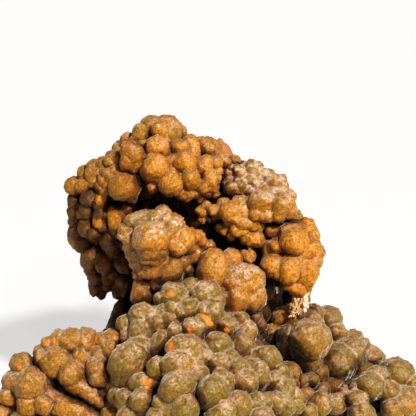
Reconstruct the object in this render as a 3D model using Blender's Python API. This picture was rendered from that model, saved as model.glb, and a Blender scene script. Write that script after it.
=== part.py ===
"""A free-standing mottramite specimen: one intergrown mass of rounded, grape-like mineral lobes.

A broad mound carries a column, and the column carries an overhanging crest that curls down on the
left without touching the base. The mass was broken from its bed rock and stands on a flat cut.
Lengths below are millimetres, turned to metres once, in to_metres().
"""

import math

import bpy
import bmesh
import numpy as np
from mathutils import Vector

NODE = "mottramite"
MM = 0.001

# The seen face is laid out as a person sees it from the best side: across and up are measured
# square to the line of sight, through a sight point above the middle of the cut base, and back is
# measured along that line. The line of sight looks down by SIGHT_TILT degrees.
EYE_DISTANCE = 260.0
SIGHT_TILT = 15.0
SIGHT_POINT = Vector((0.0, 0.0, 35.0))

VOXEL = 0.42
TRIANGLES = 9400
BASE_CUT = 0.0
CUTTER_SIDE = 140.0
LOBE_SUBDIVISIONS = 3
GROWTH_SEED = 7
GOLDEN_ANGLE = math.pi * (3 - math.sqrt(5))

# The mass behind the lobes, as (x, y, z, radius) from the middle of the cut base.
CORES = {
    "mound": (
        (0, -2, 12.5, 8.8), (1, -8, 8, 9.2), (-8, -8, 7, 8), (8, -8, 6, 7.5), (-4, 0, 17.5, 4.5),
        (1, -3, 18, 4.2), (2, -13, 5, 6.5), (-5, -12, 6, 6.5),
    ),
    "base": (
        (-15, 0, 4, 7.5), (-22, -6, 3.5, 5.5), (-27, -8.5, 3, 4.4), (-17, -6, 9.5, 3.4),
        (13, -1, 5.5, 8.5), (22, -1, 3.5, 6.5), (27, -3, 3, 5.2), (0, 9, 7, 11.5),
        (-11, 10, 5, 7.5), (14, 11, 5, 8.5), (2, 18, 5, 7.5), (20, 6, 4, 6), (-13.5, 4, 11, 3.4),
        (0, 0, 1, 9),
    ),
    "column": (
        (4, 13, 21, 8.5), (-6.2, 12.5, 20, 6), (11, 11, 17, 6.5), (-2, 14, 26, 6.5), (8, 13, 27, 6.5),
        (-6, 3, 21, 4), (1.5, 3.5, 22, 4), (6.5, 3, 20.5, 4),
    ),
    "crest": (
        (-6, 9, 41.5, 4.6), (-10.5, 9, 40, 4.2), (-1.5, 9.5, 40, 4.6), (4.5, 11.5, 36.5, 5.4),
        (9.5, 10.5, 34, 5), (-3, 18, 34, 7.5), (5, 18.5, 31, 8), (-10, 15, 34.5, 6.4),
        (12, 13, 27, 6), (5.5, 9.5, 31.5, 4),
    ),
    "hanging_lobe": (
        (-15, 9, 37.2, 4.2), (-17, 10, 32.5, 4), (-17, 11, 28, 3.7), (-16.2, 12.5, 24, 3.2),
        (-15.2, 13.5, 21.5, 2.5),
    ),
    "right_shoulder": (
        (9.6, 3.2, 34.8, 2.9), (12.8, 2.4, 28.6, 3.4), (12.6, 3, 25.8, 3), (7, 5, 28, 3.4),
    ),
}

# The lobes of the seen face, as (across, up, back, radius).
SEEN_LOBES = {
    "crest_top": (
        (-9.4, 12.1, 4, 1.2), (-8.2, 12.5, 4, 1.25), (-6.7, 12.5, 4, 1.3), (-5.4, 12.1, 4, 1.35),
        (-4.2, 11.5, 5, 1.1), (-7.2, 11.3, 2.3, 1.4), (-5.7, 10.9, 2.4, 1.55), (-8.4, 11.4, 3, 0.9),
        (-10.4, 11.1, 3, 1.25), (-11.2, 10.4, 3.4, 0.95), (-10.1, 9.7, 3, 1.05),
        (-12.4, 9.8, 5, 1.2), (-13.5, 9.3, 5.5, 1.25), (-2.6, 10.1, 5, 1.1), (-1.1, 9.9, 5.5, 1.15),
        (-0.5, 9, 4, 1.35), (0.5, 8.6, 4.4, 1.1), (1.7, 7.1, 4.6, 1.15), (2.4, 6.4, 4.6, 1),
        (3.8, 6.8, 6.5, 0.95),
    ),
    "crest_face": (
        (-8.4, 9.4, 1.6, 1.15), (-6.8, 9.1, 1, 1.3), (-8.8, 7.7, 1.6, 1.25), (-7.7, 6.3, 0.8, 1.75),
        (-9.4, 6.5, 1.6, 1.05), (-8.1, 5.5, 1.4, 1.05), (-6.4, 6.4, 1.4, 1.5), (-4.4, 9, 1.4, 1.1),
        (-3.4, 9.1, 2.4, 1.15), (-2.5, 8.5, 2.2, 1.3), (-1.8, 7.5, 1.8, 1.1), (-4, 6.9, 1, 1.15),
        (-2.9, 6.6, 0.8, 1.35), (-5.5, 3.8, 0.6, 1.75), (-2.6, 4.4, 0.6, 1.5), (-4.1, 3, 1.2, 1.2),
        (-3.6, 2, 1.8, 0.85), (-1.3, 3.5, 1.4, 0.8), (-4.4, 5, 1.6, 1.1), (-8, 4.2, 2, 0.8),
        (-0.7, 6.5, 1.2, 1.15), (0.7, 6.9, 2.2, 1.15), (1.2, 6.2, 2.2, 0.95), (-0.1, 4.2, 1, 0.9),
        (0.5, 5.3, 1.2, 0.95), (1.4, 4.6, 1.6, 0.8), (0.8, 3.7, 1.5, 0.8),
    ),
    "crest_left": (
        (-12.2, 8.6, 1.8, 1), (-11.2, 8.1, 1.4, 1.5), (-12, 7, 1.6, 1.05), (-10.9, 6.9, 1.8, 1.15),
        (-14.3, 7.6, 4.5, 1.05), (-14.9, 6.9, 4, 0.95), (-13.3, 7.2, 4, 0.9), (-15.8, 6.5, 5, 0.95),
        (-17.2, 6.2, 5.5, 1), (-17.4, 5.3, 5.2, 1), (-18.8, 5.1, 6.5, 0.95), (-20.5, 3.2, 7, 1.15),
        (-19, 3.4, 6, 1.15), (-14.8, 5, 3, 1.15), (-15.7, 4, 3.4, 1), (-13, 3.2, 1.6, 1.75),
        (-12, 5.2, 3, 0.8), (-13.6, 5.7, 3.6, 0.9), (-16.4, 5.2, 4.4, 0.9),
    ),
    "hanging_lobe": (
        (-20, 1, 8, 1.1), (-20.1, -0.6, 8.6, 1), (-20, -1.9, 9, 1), (-19.9, -3.5, 9.4, 1.1),
        (-19, -5.2, 9.6, 1.4), (-17.8, 1.5, 5.6, 1.3), (-18.2, -0.4, 6.4, 1.2),
        (-16, 1.5, 4.4, 1.05), (-16.2, 0.2, 4.8, 0.95), (-15.9, -1.5, 4.8, 1.05),
        (-16.1, -2.9, 5.2, 0.9), (-14.2, -0.9, 5, 0.85), (-13.5, -1.9, 4.2, 1.3),
        (-14.2, -3.3, 4.6, 1.1), (-12.2, -0.6, 4.6, 0.85), (-16.8, -4.2, 5.6, 1),
        (-14.6, -5.4, 6, 1.3), (-14, -6.5, 6.6, 1.1), (-18.4, -3.2, 6.8, 1.3),
        (-17.4, -7.4, 9, 1.3), (-17.3, -8.9, 9.6, 1.3), (-16.8, -10.4, 10.2, 1.25),
        (-15.2, -8.6, 7.6, 1.5), (-14.9, -10.2, 9, 1.3), (-13.6, -9.8, 8.4, 1.25),
        (-13.5, -11.2, 9.6, 1), (-17, -11.7, 10.6, 0.8), (-12.4, -11.2, 8, 1.2),
        (-12, -8.6, 6, 1.3), (-12.4, -6, 5.4, 1.1),
    ),
    "front_head": (
        (-6.6, -0.7, -1, 1.25), (-9.2, -1, -0.4, 0.9), (-11, -1.7, -0.6, 1.2),
        (-12.2, -3.4, -0.8, 1.2), (-11.6, -4.9, -1, 1.25), (-8.7, -4.5, -3.2, 2.4),
        (-6.1, -2.6, -2.6, 1.9), (-4.8, -2.8, -2.4, 1.7), (-3.6, -5.1, -2.4, 1.8),
        (-4.6, -6.2, -2.2, 1.15), (-2, -4.3, -0.8, 1.2), (-0.7, -5.8, 0, 0.85),
        (-9, -2.2, -1.4, 1.3), (-8.2, -6.7, -2.6, 1), (-9.6, -6.4, -2.4, 1.1),
        (-11.3, -6.9, -0.6, 1.1), (-10.9, -8.3, 0.2, 0.9), (-2.1, -6.9, -0.6, 0.9),
        (0.5, -6.3, 0.6, 0.8), (-9.9, -3.4, -2.4, 1.4), (-7.4, -4, -3.2, 1.9),
    ),
    "front_stalk": (
        (-5.8, -8.9, -0.8, 2.1), (-7.6, -9.3, -0.2, 1.5), (-3.4, -8.1, -0.4, 0.9),
        (-3.4, -9.3, -0.2, 0.9), (-9.4, -9.4, 0.2, 1), (-8, -11.3, 0.6, 0.8),
        (-10.3, -13.1, 1.6, 1.15), (-5.2, -10.6, 0, 1.5), (-1.5, -10.4, 0.4, 0.85),
        (-6.6, -6.6, -0.6, 1.3),
    ),
    "right_face": (
        (6.2, 3.9, 3.2, 1.05), (5, 3.4, 3.2, 0.9), (3.5, 2.8, 3.4, 0.95), (5.9, 2.3, 2.8, 0.85),
        (4.4, 5.7, 4.2, 0.95), (4.9, 5, 3.6, 0.8), (6.4, 5.3, 4, 0.95), (6.3, 6.4, 5, 0.8),
        (7.3, 6.1, 5, 0.85), (2.8, 4.5, 3.6, 0.8), (7.6, 4.3, 3.8, 0.85), (8.5, 3.6, 3.4, 0.85),
        (2.9, 5.5, 3.8, 0.8),
    ),
    "right_upper_lobe": (
        (7.5, 0.5, -0.4, 1.6), (8, -0.6, -0.2, 1.4), (9.5, -0.8, -0.4, 1.35),
        (11.2, -0.2, -0.4, 1.75), (12.3, 0.3, 0.4, 1.2), (8.5, 1.5, 0, 1.4), (10.2, 1.7, 0.2, 1.25),
        (9.5, 0.4, -0.8, 1.6), (12, 1.9, 1.2, 1.15), (10.9, 1, -0.2, 1.3), (6.6, 1.2, 1, 1),
        (13.1, -0.8, 1.6, 0.8),
    ),
    "right_lower_lobe": (
        (14.3, -3.2, 1.4, 1.65), (12.5, -3.8, 0, 1.5), (13, -5.5, -1, 1.5), (11.9, -5.4, -0.8, 1.2),
        (14.8, -4.6, 0.2, 1.15), (15.9, -5.3, 1.6, 1.05), (15.6, -7.2, 0.6, 1.5),
        (10.1, -5.9, -0.4, 1.2), (9.2, -6.2, 0.4, 0.95), (9.9, -9, -0.8, 1.55),
        (12.1, -9.2, -1.4, 1.65), (12.2, -7.6, -0.8, 1.05), (14.9, -9.6, -0.4, 1.65),
        (13.5, -12, 0, 1.25), (14.6, -11.2, 0.2, 1.3), (9.2, -8, 0.4, 1.15), (10.3, -3.6, 1.2, 0.9),
        (14.2, -6.8, -0.6, 1.3), (13.6, -8.4, -1, 1.4), (12.2, -11.4, 0, 1),
    ),
    "broken_tip": (
        (13.2, -13.8, 1, 1.1), (14.4, -13.9, 1.2, 0.8), (12.8, -15.1, 1, 0.8),
    ),
    "recess": (
        (3.1, -0.6, 3.2, 1.15), (4.4, -0.4, 3, 1.2), (5.2, -1.5, 2.8, 1.2), (6.4, -2.3, 2.8, 0.9),
        (4, -3.5, 3.4, 0.85), (6.4, -4.4, 3, 0.95), (7.5, -4.9, 3, 0.8), (1.6, 0.2, 3.6, 0.9),
        (-0.9, -0.4, 4, 0.8), (2.4, -3.1, 4.6, 0.8), (5.2, -4.9, 3.8, 0.8), (6.1, -7.3, 3.4, 0.8),
    ),
    "mound_shoulder": (
        (0.9, -8.3, -1.2, 2.2), (3, -7.7, 0.4, 1.75), (4.4, -8.3, 1.2, 1), (4.8, -10.3, -1.4, 1.75),
        (6.6, -10.2, -1.4, 1.85), (4.8, -13, -1.8, 2.05), (7.1, -13.1, -1.4, 1.65),
        (7.1, -16.3, 0, 0.85), (8.1, -17.5, 0.6, 0.85),
    ),
    "mound_top": (
        (-2.9, -12, -2.4, 1.6), (-5.3, -13.1, -3.2, 1.95), (0.4, -13.2, -3.2, 1.65),
        (-1.4, -13.8, -3.6, 1.3), (-2.5, -15.1, -4.6, 1.35), (0.4, -15.5, -5.2, 1.9),
        (-4, -15.5, -4.4, 1.3), (-10, -16.5, -3.4, 1.75), (-12.4, -17.1, -2.4, 1.1),
        (-7.6, -17.5, -4.6, 1.45), (-7, -15.8, -3.6, 1.1), (-5.4, -16.7, -5, 1.1),
        (-10.2, -18.2, -4.4, 1.4), (-1.2, -17.3, -6, 1.5), (-2.9, -19, -7.4, 1.5),
        (-5, -18.8, -6.6, 1.2), (-7.2, -20, -6.4, 1.25), (3, -18.1, -5.8, 1.45),
        (2.7, -16.5, -4.4, 0.95), (4.9, -17.2, -3.6, 1.3), (6, -18.6, -3.8, 1.75),
        (5.1, -20.5, -6, 1.65), (6.3, -20.9, -4.6, 1.3), (1.5, -20.9, -7.8, 1.9),
        (-8.6, -15.6, -3, 0.9), (-12.4, -19, -3.4, 0.9),
    ),
    "mound_front": (
        (-4.7, -21, -9.2, 1.9), (-2.2, -21.2, -9.2, 1.85), (-4.3, -23.9, -11.4, 2.4),
        (-6.6, -24.3, -10.6, 1.5), (-4.3, -26.8, -13.6, 2.4), (-1.7, -25.9, -12.4, 1.35),
        (0.9, -27.8, -14, 2.15), (1.5, -25.4, -11.6, 1.5), (1, -23.3, -9.8, 1.4),
        (4.3, -24.4, -9.8, 1.45), (3.2, -22.6, -8.6, 1.1), (7.1, -24.8, -8.6, 2),
        (8.9, -22.8, -5.4, 1.85), (10.4, -24.2, -5.8, 1.4), (10.7, -26.6, -7.4, 1.7),
        (9.7, -25.8, -7.6, 1.1), (12.9, -28.2, -7, 1.3), (13.1, -29.6, -7.6, 1.1),
        (11.7, -29.6, -9, 1.3), (5, -27, -11.6, 1.7), (5, -29.7, -13.4, 1.75),
        (8.2, -29.3, -11.2, 1.6), (-11.8, -23, -6.6, 2.9), (-10.3, -21.6, -5.4, 2.2),
        (-9.6, -26.3, -9.6, 1.4), (-8.6, -26.2, -9.8, 1.3), (-10.5, -26.3, -9.2, 1.2),
        (-12.3, -28.9, -8.6, 1.6), (-9.9, -28.8, -10.8, 1.75), (-6.9, -29.5, -12.8, 1.35),
        (-13.4, -25.4, -6, 1), (-3.5, -30, -15, 1.9), (-12, -31.6, -10, 1.7),
        (-7.4, -31.9, -13.4, 1.9), (8, -32, -13, 1.9), (2, -31.6, -15.2, 1.9),
    ),
    "left_fingers": (
        (-18.3, -20.1, -2, 1.9), (-20.6, -20.1, -2.2, 1.75), (-22.5, -19.9, -2, 1.3),
        (-14.1, -19.8, -2.4, 1.35), (-15.7, -20.3, -2, 1.2), (-14.9, -21.5, -3.2, 1.25),
        (-16.6, -22.3, -3, 1.1), (-23.2, -23.1, -3.4, 1.95), (-25.1, -22.5, -2.6, 0.95),
        (-20.7, -24.8, -4.4, 1.75), (-16.6, -24.3, -5, 1.5), (-16.6, -25.2, -5.2, 1.3),
        (-26.7, -26.5, -4, 2.25), (-28.5, -26, -3.2, 1.4), (-29.6, -26, -2.6, 1.4),
        (-28.2, -23.3, -2, 1.45), (-30, -28.2, -2.6, 1.3), (-27, -29.4, -4.2, 1.4),
        (-24.8, -29.5, -4.8, 1.3), (-31, -31, -2, 1.6), (-19, -22.6, -3, 1.5),
        (-24.4, -27.4, -3.4, 1),
    ),
    "right_rear": (
        (11.3, -16.6, 4, 1.5), (13, -16.6, 3.6, 1.35), (9.8, -18.6, 3, 0.95),
        (9.6, -19.4, 2.8, 0.9), (15.3, -20, -2, 2.65), (15.5, -23, -1.4, 1.4), (12, -19.3, 0, 1.35),
        (11.9, -20.5, 0, 1.2), (15.3, -17.2, 3, 1.6), (16, -15.7, 8, 1.25), (18, -17, 9, 1.95),
        (19, -18.8, 8, 1.75), (19.1, -23.7, 2.4, 2.7), (21.3, -22.5, 5, 2.35),
        (21.8, -20.2, 9, 1.35), (24.6, -22.6, 8, 1.95), (28.4, -25.5, 1.4, 2.3),
        (24.6, -26.9, -2.4, 1.8), (25.4, -25.6, -0.4, 1.4), (22.6, -27.2, -1.6, 1.15),
        (30.3, -26.8, 0.4, 1.4), (27.4, -28, -1.8, 1.4), (29.6, -29.3, -2.4, 1.8),
        (27.7, -30.2, -3.2, 1.5), (22.7, -28.8, -3, 1.45), (23.1, -31.2, -4.4, 1.8),
        (20.2, -27.7, -1.8, 0.95), (16.9, -29.6, -4.4, 1.55), (19.2, -29.5, -3.4, 1.3),
        (15, -30.8, -6, 1.2), (13.9, -26, -3, 1), (15.5, -25.6, -2, 0.9), (17, -27.4, -2, 0.9),
        (31.5, -29, -0.6, 1.7),
    ),
}

# Tapering stalks, as (start, end, start radius, end radius), with the ends as in SEEN_LOBES.
STALKS = (
    ((-20.4, -25.6, -3.8), (-15.6, -29.4, -4.6), 1.35, 0.65),
    ((-26.0, -27.6, -2.6), (-17.5, -31.8, -5.0), 1.3, 1.2),
    ((-24.9, -26.4, -2.8), (-22.6, -28.6, -3.2), 0.75, 0.7),
    ((-13.0, -14.4, 9.0), (-14.4, -18.6, 9.5), 1.3, 1.6),
    ((2.0, 8.2, 22.0), (2.0, 9.7, 22.0), 1.5, 0.35),
)

# The same kind of lobes grow on the hidden faces. Spacing, depth and clearances are in lobe radii.
HIDDEN_RADIUS = (1.5, 2.7)
HIDDEN_SPACING = 1.4
HIDDEN_DEPTH = 0.2
CLEAR_OF_SEEN = 0.9
CLEAR_OF_EACH_OTHER = 0.75


def seen_at(across, up, back):
    """The place, from the middle of the cut base, of a point laid out along the line of sight."""
    tilt = math.radians(SIGHT_TILT)
    widen = 1 + back / EYE_DISTANCE
    right, high = across * widen, up * widen
    ahead = Vector((0, math.cos(tilt), -math.sin(tilt)))
    upright = Vector((0, math.sin(tilt), math.cos(tilt)))
    return SIGHT_POINT + Vector((right, 0, 0)) + upright * high + ahead * back


def seen_lobes():
    """(place, radius) of every lobe and stalk of the seen face."""
    found = []
    for group in SEEN_LOBES.values():
        for across, up, back, radius in group:
            found.append((seen_at(across, up, back), radius * (1 + back / EYE_DISTANCE)))
    for start, end, first, last in STALKS:
        low, high = seen_at(*start), seen_at(*end)
        steps = max(3, math.ceil((high - low).length / (0.6 * min(first, last) + 0.2)))
        for i in range(steps + 1):
            share = i / steps
            found.append((low.lerp(high, share), first + (last - first) * share))
    return found


def core_lobes():
    return [(Vector(core[:3]), core[3]) for group in CORES.values() for core in group]


def hidden_lobes(cores, seen):
    """Lobes, evenly spaced, wherever the seen ones leave a core bare."""
    rng = np.random.default_rng(GROWTH_SEED)
    grown = []
    for centre, reach in cores:
        spacing = HIDDEN_SPACING * np.mean(HIDDEN_RADIUS)
        count = int(4 * math.pi * reach**2 / spacing**2)
        for i in range(count):
            height = 1 - 2 * (i + 0.5) / count
            ring = math.sqrt(1 - height * height)
            turn = i * GOLDEN_ANGLE
            out = Vector((ring * math.cos(turn), ring * math.sin(turn), height))
            radius = float(rng.uniform(*HIDDEN_RADIUS))
            place = centre + out * (reach - HIDDEN_DEPTH * radius)
            buried = any((place - c).length < r - 0.6 * radius for c, r in cores)
            near = any((place - p).length < CLEAR_OF_SEEN * (r + radius) for p, r in seen)
            crowded = any((place - p).length < CLEAR_OF_EACH_OTHER * (r + radius) for p, r in grown)
            if not (buried or near or crowded or place.z < BASE_CUT - radius):
                grown.append((place, radius))
    return grown


def add_lobe_cluster(name, lobes, collection):
    """One mesh of overlapping spheres, from copies of one icosphere."""
    unit = bmesh.new()
    bmesh.ops.create_icosphere(unit, subdivisions=LOBE_SUBDIVISIONS, radius=1)
    unit.verts.ensure_lookup_table()
    points = np.array([v.co for v in unit.verts])
    faces = np.array([[v.index for v in f.verts] for f in unit.faces])
    unit.free()
    places = np.array([p for p, _ in lobes])
    radii = np.array([r for _, r in lobes])
    every_point = (places[:, None, :] + radii[:, None, None] * points[None]) * MM
    every_face = faces[None] + (np.arange(len(lobes)) * len(points))[:, None, None]
    mesh = bpy.data.meshes.new(name)
    mesh.from_pydata(every_point.reshape(-1, 3).tolist(), [], every_face.reshape(-1, 3).tolist())
    obj = bpy.data.objects.new(name, mesh)
    collection.objects.link(obj)
    return obj


def add_base_cutter(collection):
    """The block below the cut on which the specimen stands."""
    side = CUTTER_SIDE * MM
    bpy.ops.mesh.primitive_cube_add(size=side, location=(0, 0, BASE_CUT * MM - side / 2))
    cutter = bpy.context.object
    cutter.name = "base_cutter"
    for owner in list(cutter.users_collection):
        owner.objects.unlink(cutter)
    collection.objects.link(cutter)
    cutter.hide_render = True
    cutter.display_type = "WIRE"
    return cutter


def fill_pockets(mesh):
    """Keeps the outer skin alone, so that no closed pocket is left between the lobes."""
    skin = bmesh.new()
    skin.from_mesh(mesh)
    frontier = [max(skin.verts, key=lambda vert: vert.co.z)]
    outer = set(frontier)
    while frontier:
        vert = frontier.pop()
        for edge in vert.link_edges:
            other = edge.other_vert(vert)
            if other not in outer:
                outer.add(other)
                frontier.append(other)
    inner = [vert for vert in skin.verts if vert not in outer]
    bmesh.ops.delete(skin, geom=inner, context="VERTS")
    skin.to_mesh(mesh)
    skin.free()


def fuse(obj, cutter):
    """Joins the overlapping spheres in one skin, thins it to few faces and cuts the base flat."""
    bpy.context.view_layer.objects.active = obj
    obj.data.remesh_voxel_size = VOXEL * MM
    bpy.ops.object.voxel_remesh()
    fill_pockets(obj.data)
    thin = obj.modifiers.new("few_faces", "DECIMATE")
    thin.ratio = TRIANGLES / (2 * len(obj.data.polygons))
    cut = obj.modifiers.new("base_cut", "BOOLEAN")
    cut.operation = "DIFFERENCE"
    cut.solver = "EXACT"
    cut.object = cutter


def mineral_material():
    """Ochre to olive mottramite, with a waxy surface."""
    material = bpy.data.materials.new("mottramite")
    material.use_nodes = True
    shader = material.node_tree.nodes["Principled BSDF"]
    shader.inputs["Base Color"].default_value = (0.33, 0.19, 0.05, 1)
    shader.inputs["Roughness"].default_value = 0.45
    shader.inputs["Metallic"].default_value = 0
    return material


def main():
    for obj in list(bpy.data.objects):
        bpy.data.objects.remove(obj)
    specimen = bpy.data.collections.new("mottramite_specimen")
    cutters = bpy.data.collections.new("cutters")
    bpy.context.scene.collection.children.link(specimen)
    bpy.context.scene.collection.children.link(cutters)
    seen, cores = seen_lobes(), core_lobes()
    lobes = cores + seen + hidden_lobes(cores, seen)
    body = add_lobe_cluster(NODE, lobes, specimen)
    body.data.materials.append(mineral_material())
    fuse(body, add_base_cutter(cutters))


main()
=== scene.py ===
"""Mottramite specimen: a mound of grape-like lobes that carries a column and a curled crest.

Every mass is grown from listed lobes, fused in one skin and given its own mineral finish.
Lengths in the tables are millimetres, and MM turns them to metres.
"""

import math

import bmesh
import bpy
import numpy as np
from bpy.props import FloatProperty, FloatVectorProperty, IntProperty, PointerProperty
from bpy.types import Operator, Panel, PropertyGroup
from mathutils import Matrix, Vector
from mathutils.bvhtree import BVHTree


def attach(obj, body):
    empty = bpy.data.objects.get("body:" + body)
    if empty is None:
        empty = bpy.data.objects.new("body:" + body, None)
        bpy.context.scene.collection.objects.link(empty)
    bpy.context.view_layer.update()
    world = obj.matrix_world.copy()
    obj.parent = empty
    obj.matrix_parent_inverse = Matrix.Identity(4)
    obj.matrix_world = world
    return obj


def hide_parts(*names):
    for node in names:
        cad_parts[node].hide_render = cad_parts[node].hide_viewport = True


bl_info = {
    "name": "Mottramite specimen",
    "version": (1, 0, 0),
    "blender": (4, 5, 0),
    "location": "3D View > Sidebar > Specimen",
    "description": "Grows a botryoidal mottramite specimen and sets it in plain studio light",
    "category": "Add Mesh",
}

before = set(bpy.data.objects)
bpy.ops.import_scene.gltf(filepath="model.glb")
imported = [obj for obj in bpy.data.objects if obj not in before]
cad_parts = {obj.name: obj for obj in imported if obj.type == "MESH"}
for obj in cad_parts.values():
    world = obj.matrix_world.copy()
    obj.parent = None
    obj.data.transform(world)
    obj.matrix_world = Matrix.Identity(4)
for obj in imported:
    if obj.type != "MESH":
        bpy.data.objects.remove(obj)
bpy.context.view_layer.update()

NODE = "mottramite"
MM = 0.001

# A point of the seen face is given as a person sees it from the best side: across and up are
# square to the line of sight, through a sight point above the middle of the base, and back lies
# along it. The line of sight looks down by SIGHT_TILT degrees.
EYE_DISTANCE = 260.0
SIGHT_TILT = 15.0
SIGHT_POINT = Vector((0.0, 0.0, 35.0))
SIGHT_WIDTH = 62.4
TILT = math.radians(SIGHT_TILT)
SIGHT_AHEAD = np.array((0, math.cos(TILT), -math.sin(TILT)))

GOLDEN_ANGLE = math.pi * (3 - math.sqrt(5))

# The side of the cells in which the nearest spheres are looked for, and the gap given for none.
CELL = 2.0
FAR_GAP = 99.0

# The mass behind the lobes, as (x, y, z, radius) from the middle of the base.
CORES = {
    "mound": (
        (0, -2, 12.5, 8.8), (1, -8, 8, 9.2), (-8, -8, 7, 8), (8, -8, 6, 7.5), (-4, 0, 17.5, 4.5),
        (1, -3, 18, 4.2), (2, -13, 5, 6.5), (-5, -12, 6, 6.5),
    ),
    "base": (
        (-15, 0, 4, 7.5), (-22, -6, 3.5, 5.5), (-27, -8.5, 3, 4.4), (-17, -6, 9.5, 3.4),
        (13, -1, 5.5, 8.5), (22, -1, 3.5, 6.3), (27, -3, 3, 4.9), (0, 9, 7, 11.5),
        (-11, 10, 5, 7.5), (14, 11, 5, 8.2), (2, 18, 5, 7.5), (20, 6, 4, 5.8), (-13.5, 4, 11, 3.1),
        (0, 0, 1, 9), (1, -14.5, 4, 6.6), (-7, -13, 3, 6.2), (8, -11, 3, 6.4),
    ),
    "column": (
        (4, 13, 21, 8.5), (-6.2, 12.5, 20, 6), (10, 11, 16, 5.6), (-2, 14, 26, 6.5), (7, 13, 27, 6),
        (-6, 3, 21, 4), (1.5, 3.5, 22, 4), (6.5, 3, 20.5, 4), (-10.4, 6.5, 16, 2.4),
        (-9.9, 7.5, 20, 2.4),
    ),
    "crest": (
        (-6.3, 9, 41, 3.2), (-10.5, 9, 39.6, 3.4), (-1.5, 9.5, 40, 2.5), (4.5, 11.5, 34.5, 3.3),
        (8.5, 10.5, 32.5, 3.3), (-3, 17.5, 34, 6), (4.5, 18, 30, 5.6), (-9.5, 15, 33.5, 5),
        (10.3, 13, 26.3, 4.2), (5.5, 9.5, 31.5, 4), (-1, 10.5, 36, 3.4),
    ),
    "hanging_lobe": (
        (-15, 9, 36.2, 3.5), (-16.8, 10, 32.5, 3.6), (-16.8, 11, 28, 3.3), (-16, 12.5, 24, 2.9),
        (-15, 13.5, 21.5, 2.4),
    ),
    "front_head": ((-7.2, -0.8, 31, 2.8), (-6, -0.3, 26.4, 2.4)),
    "right_shoulder": (
        (9.6, 3.2, 34.8, 2.9), (12.8, 2.4, 28.6, 3.4), (12.6, 3, 25.8, 3), (7, 5, 28, 3.4),
    ),
}

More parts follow.
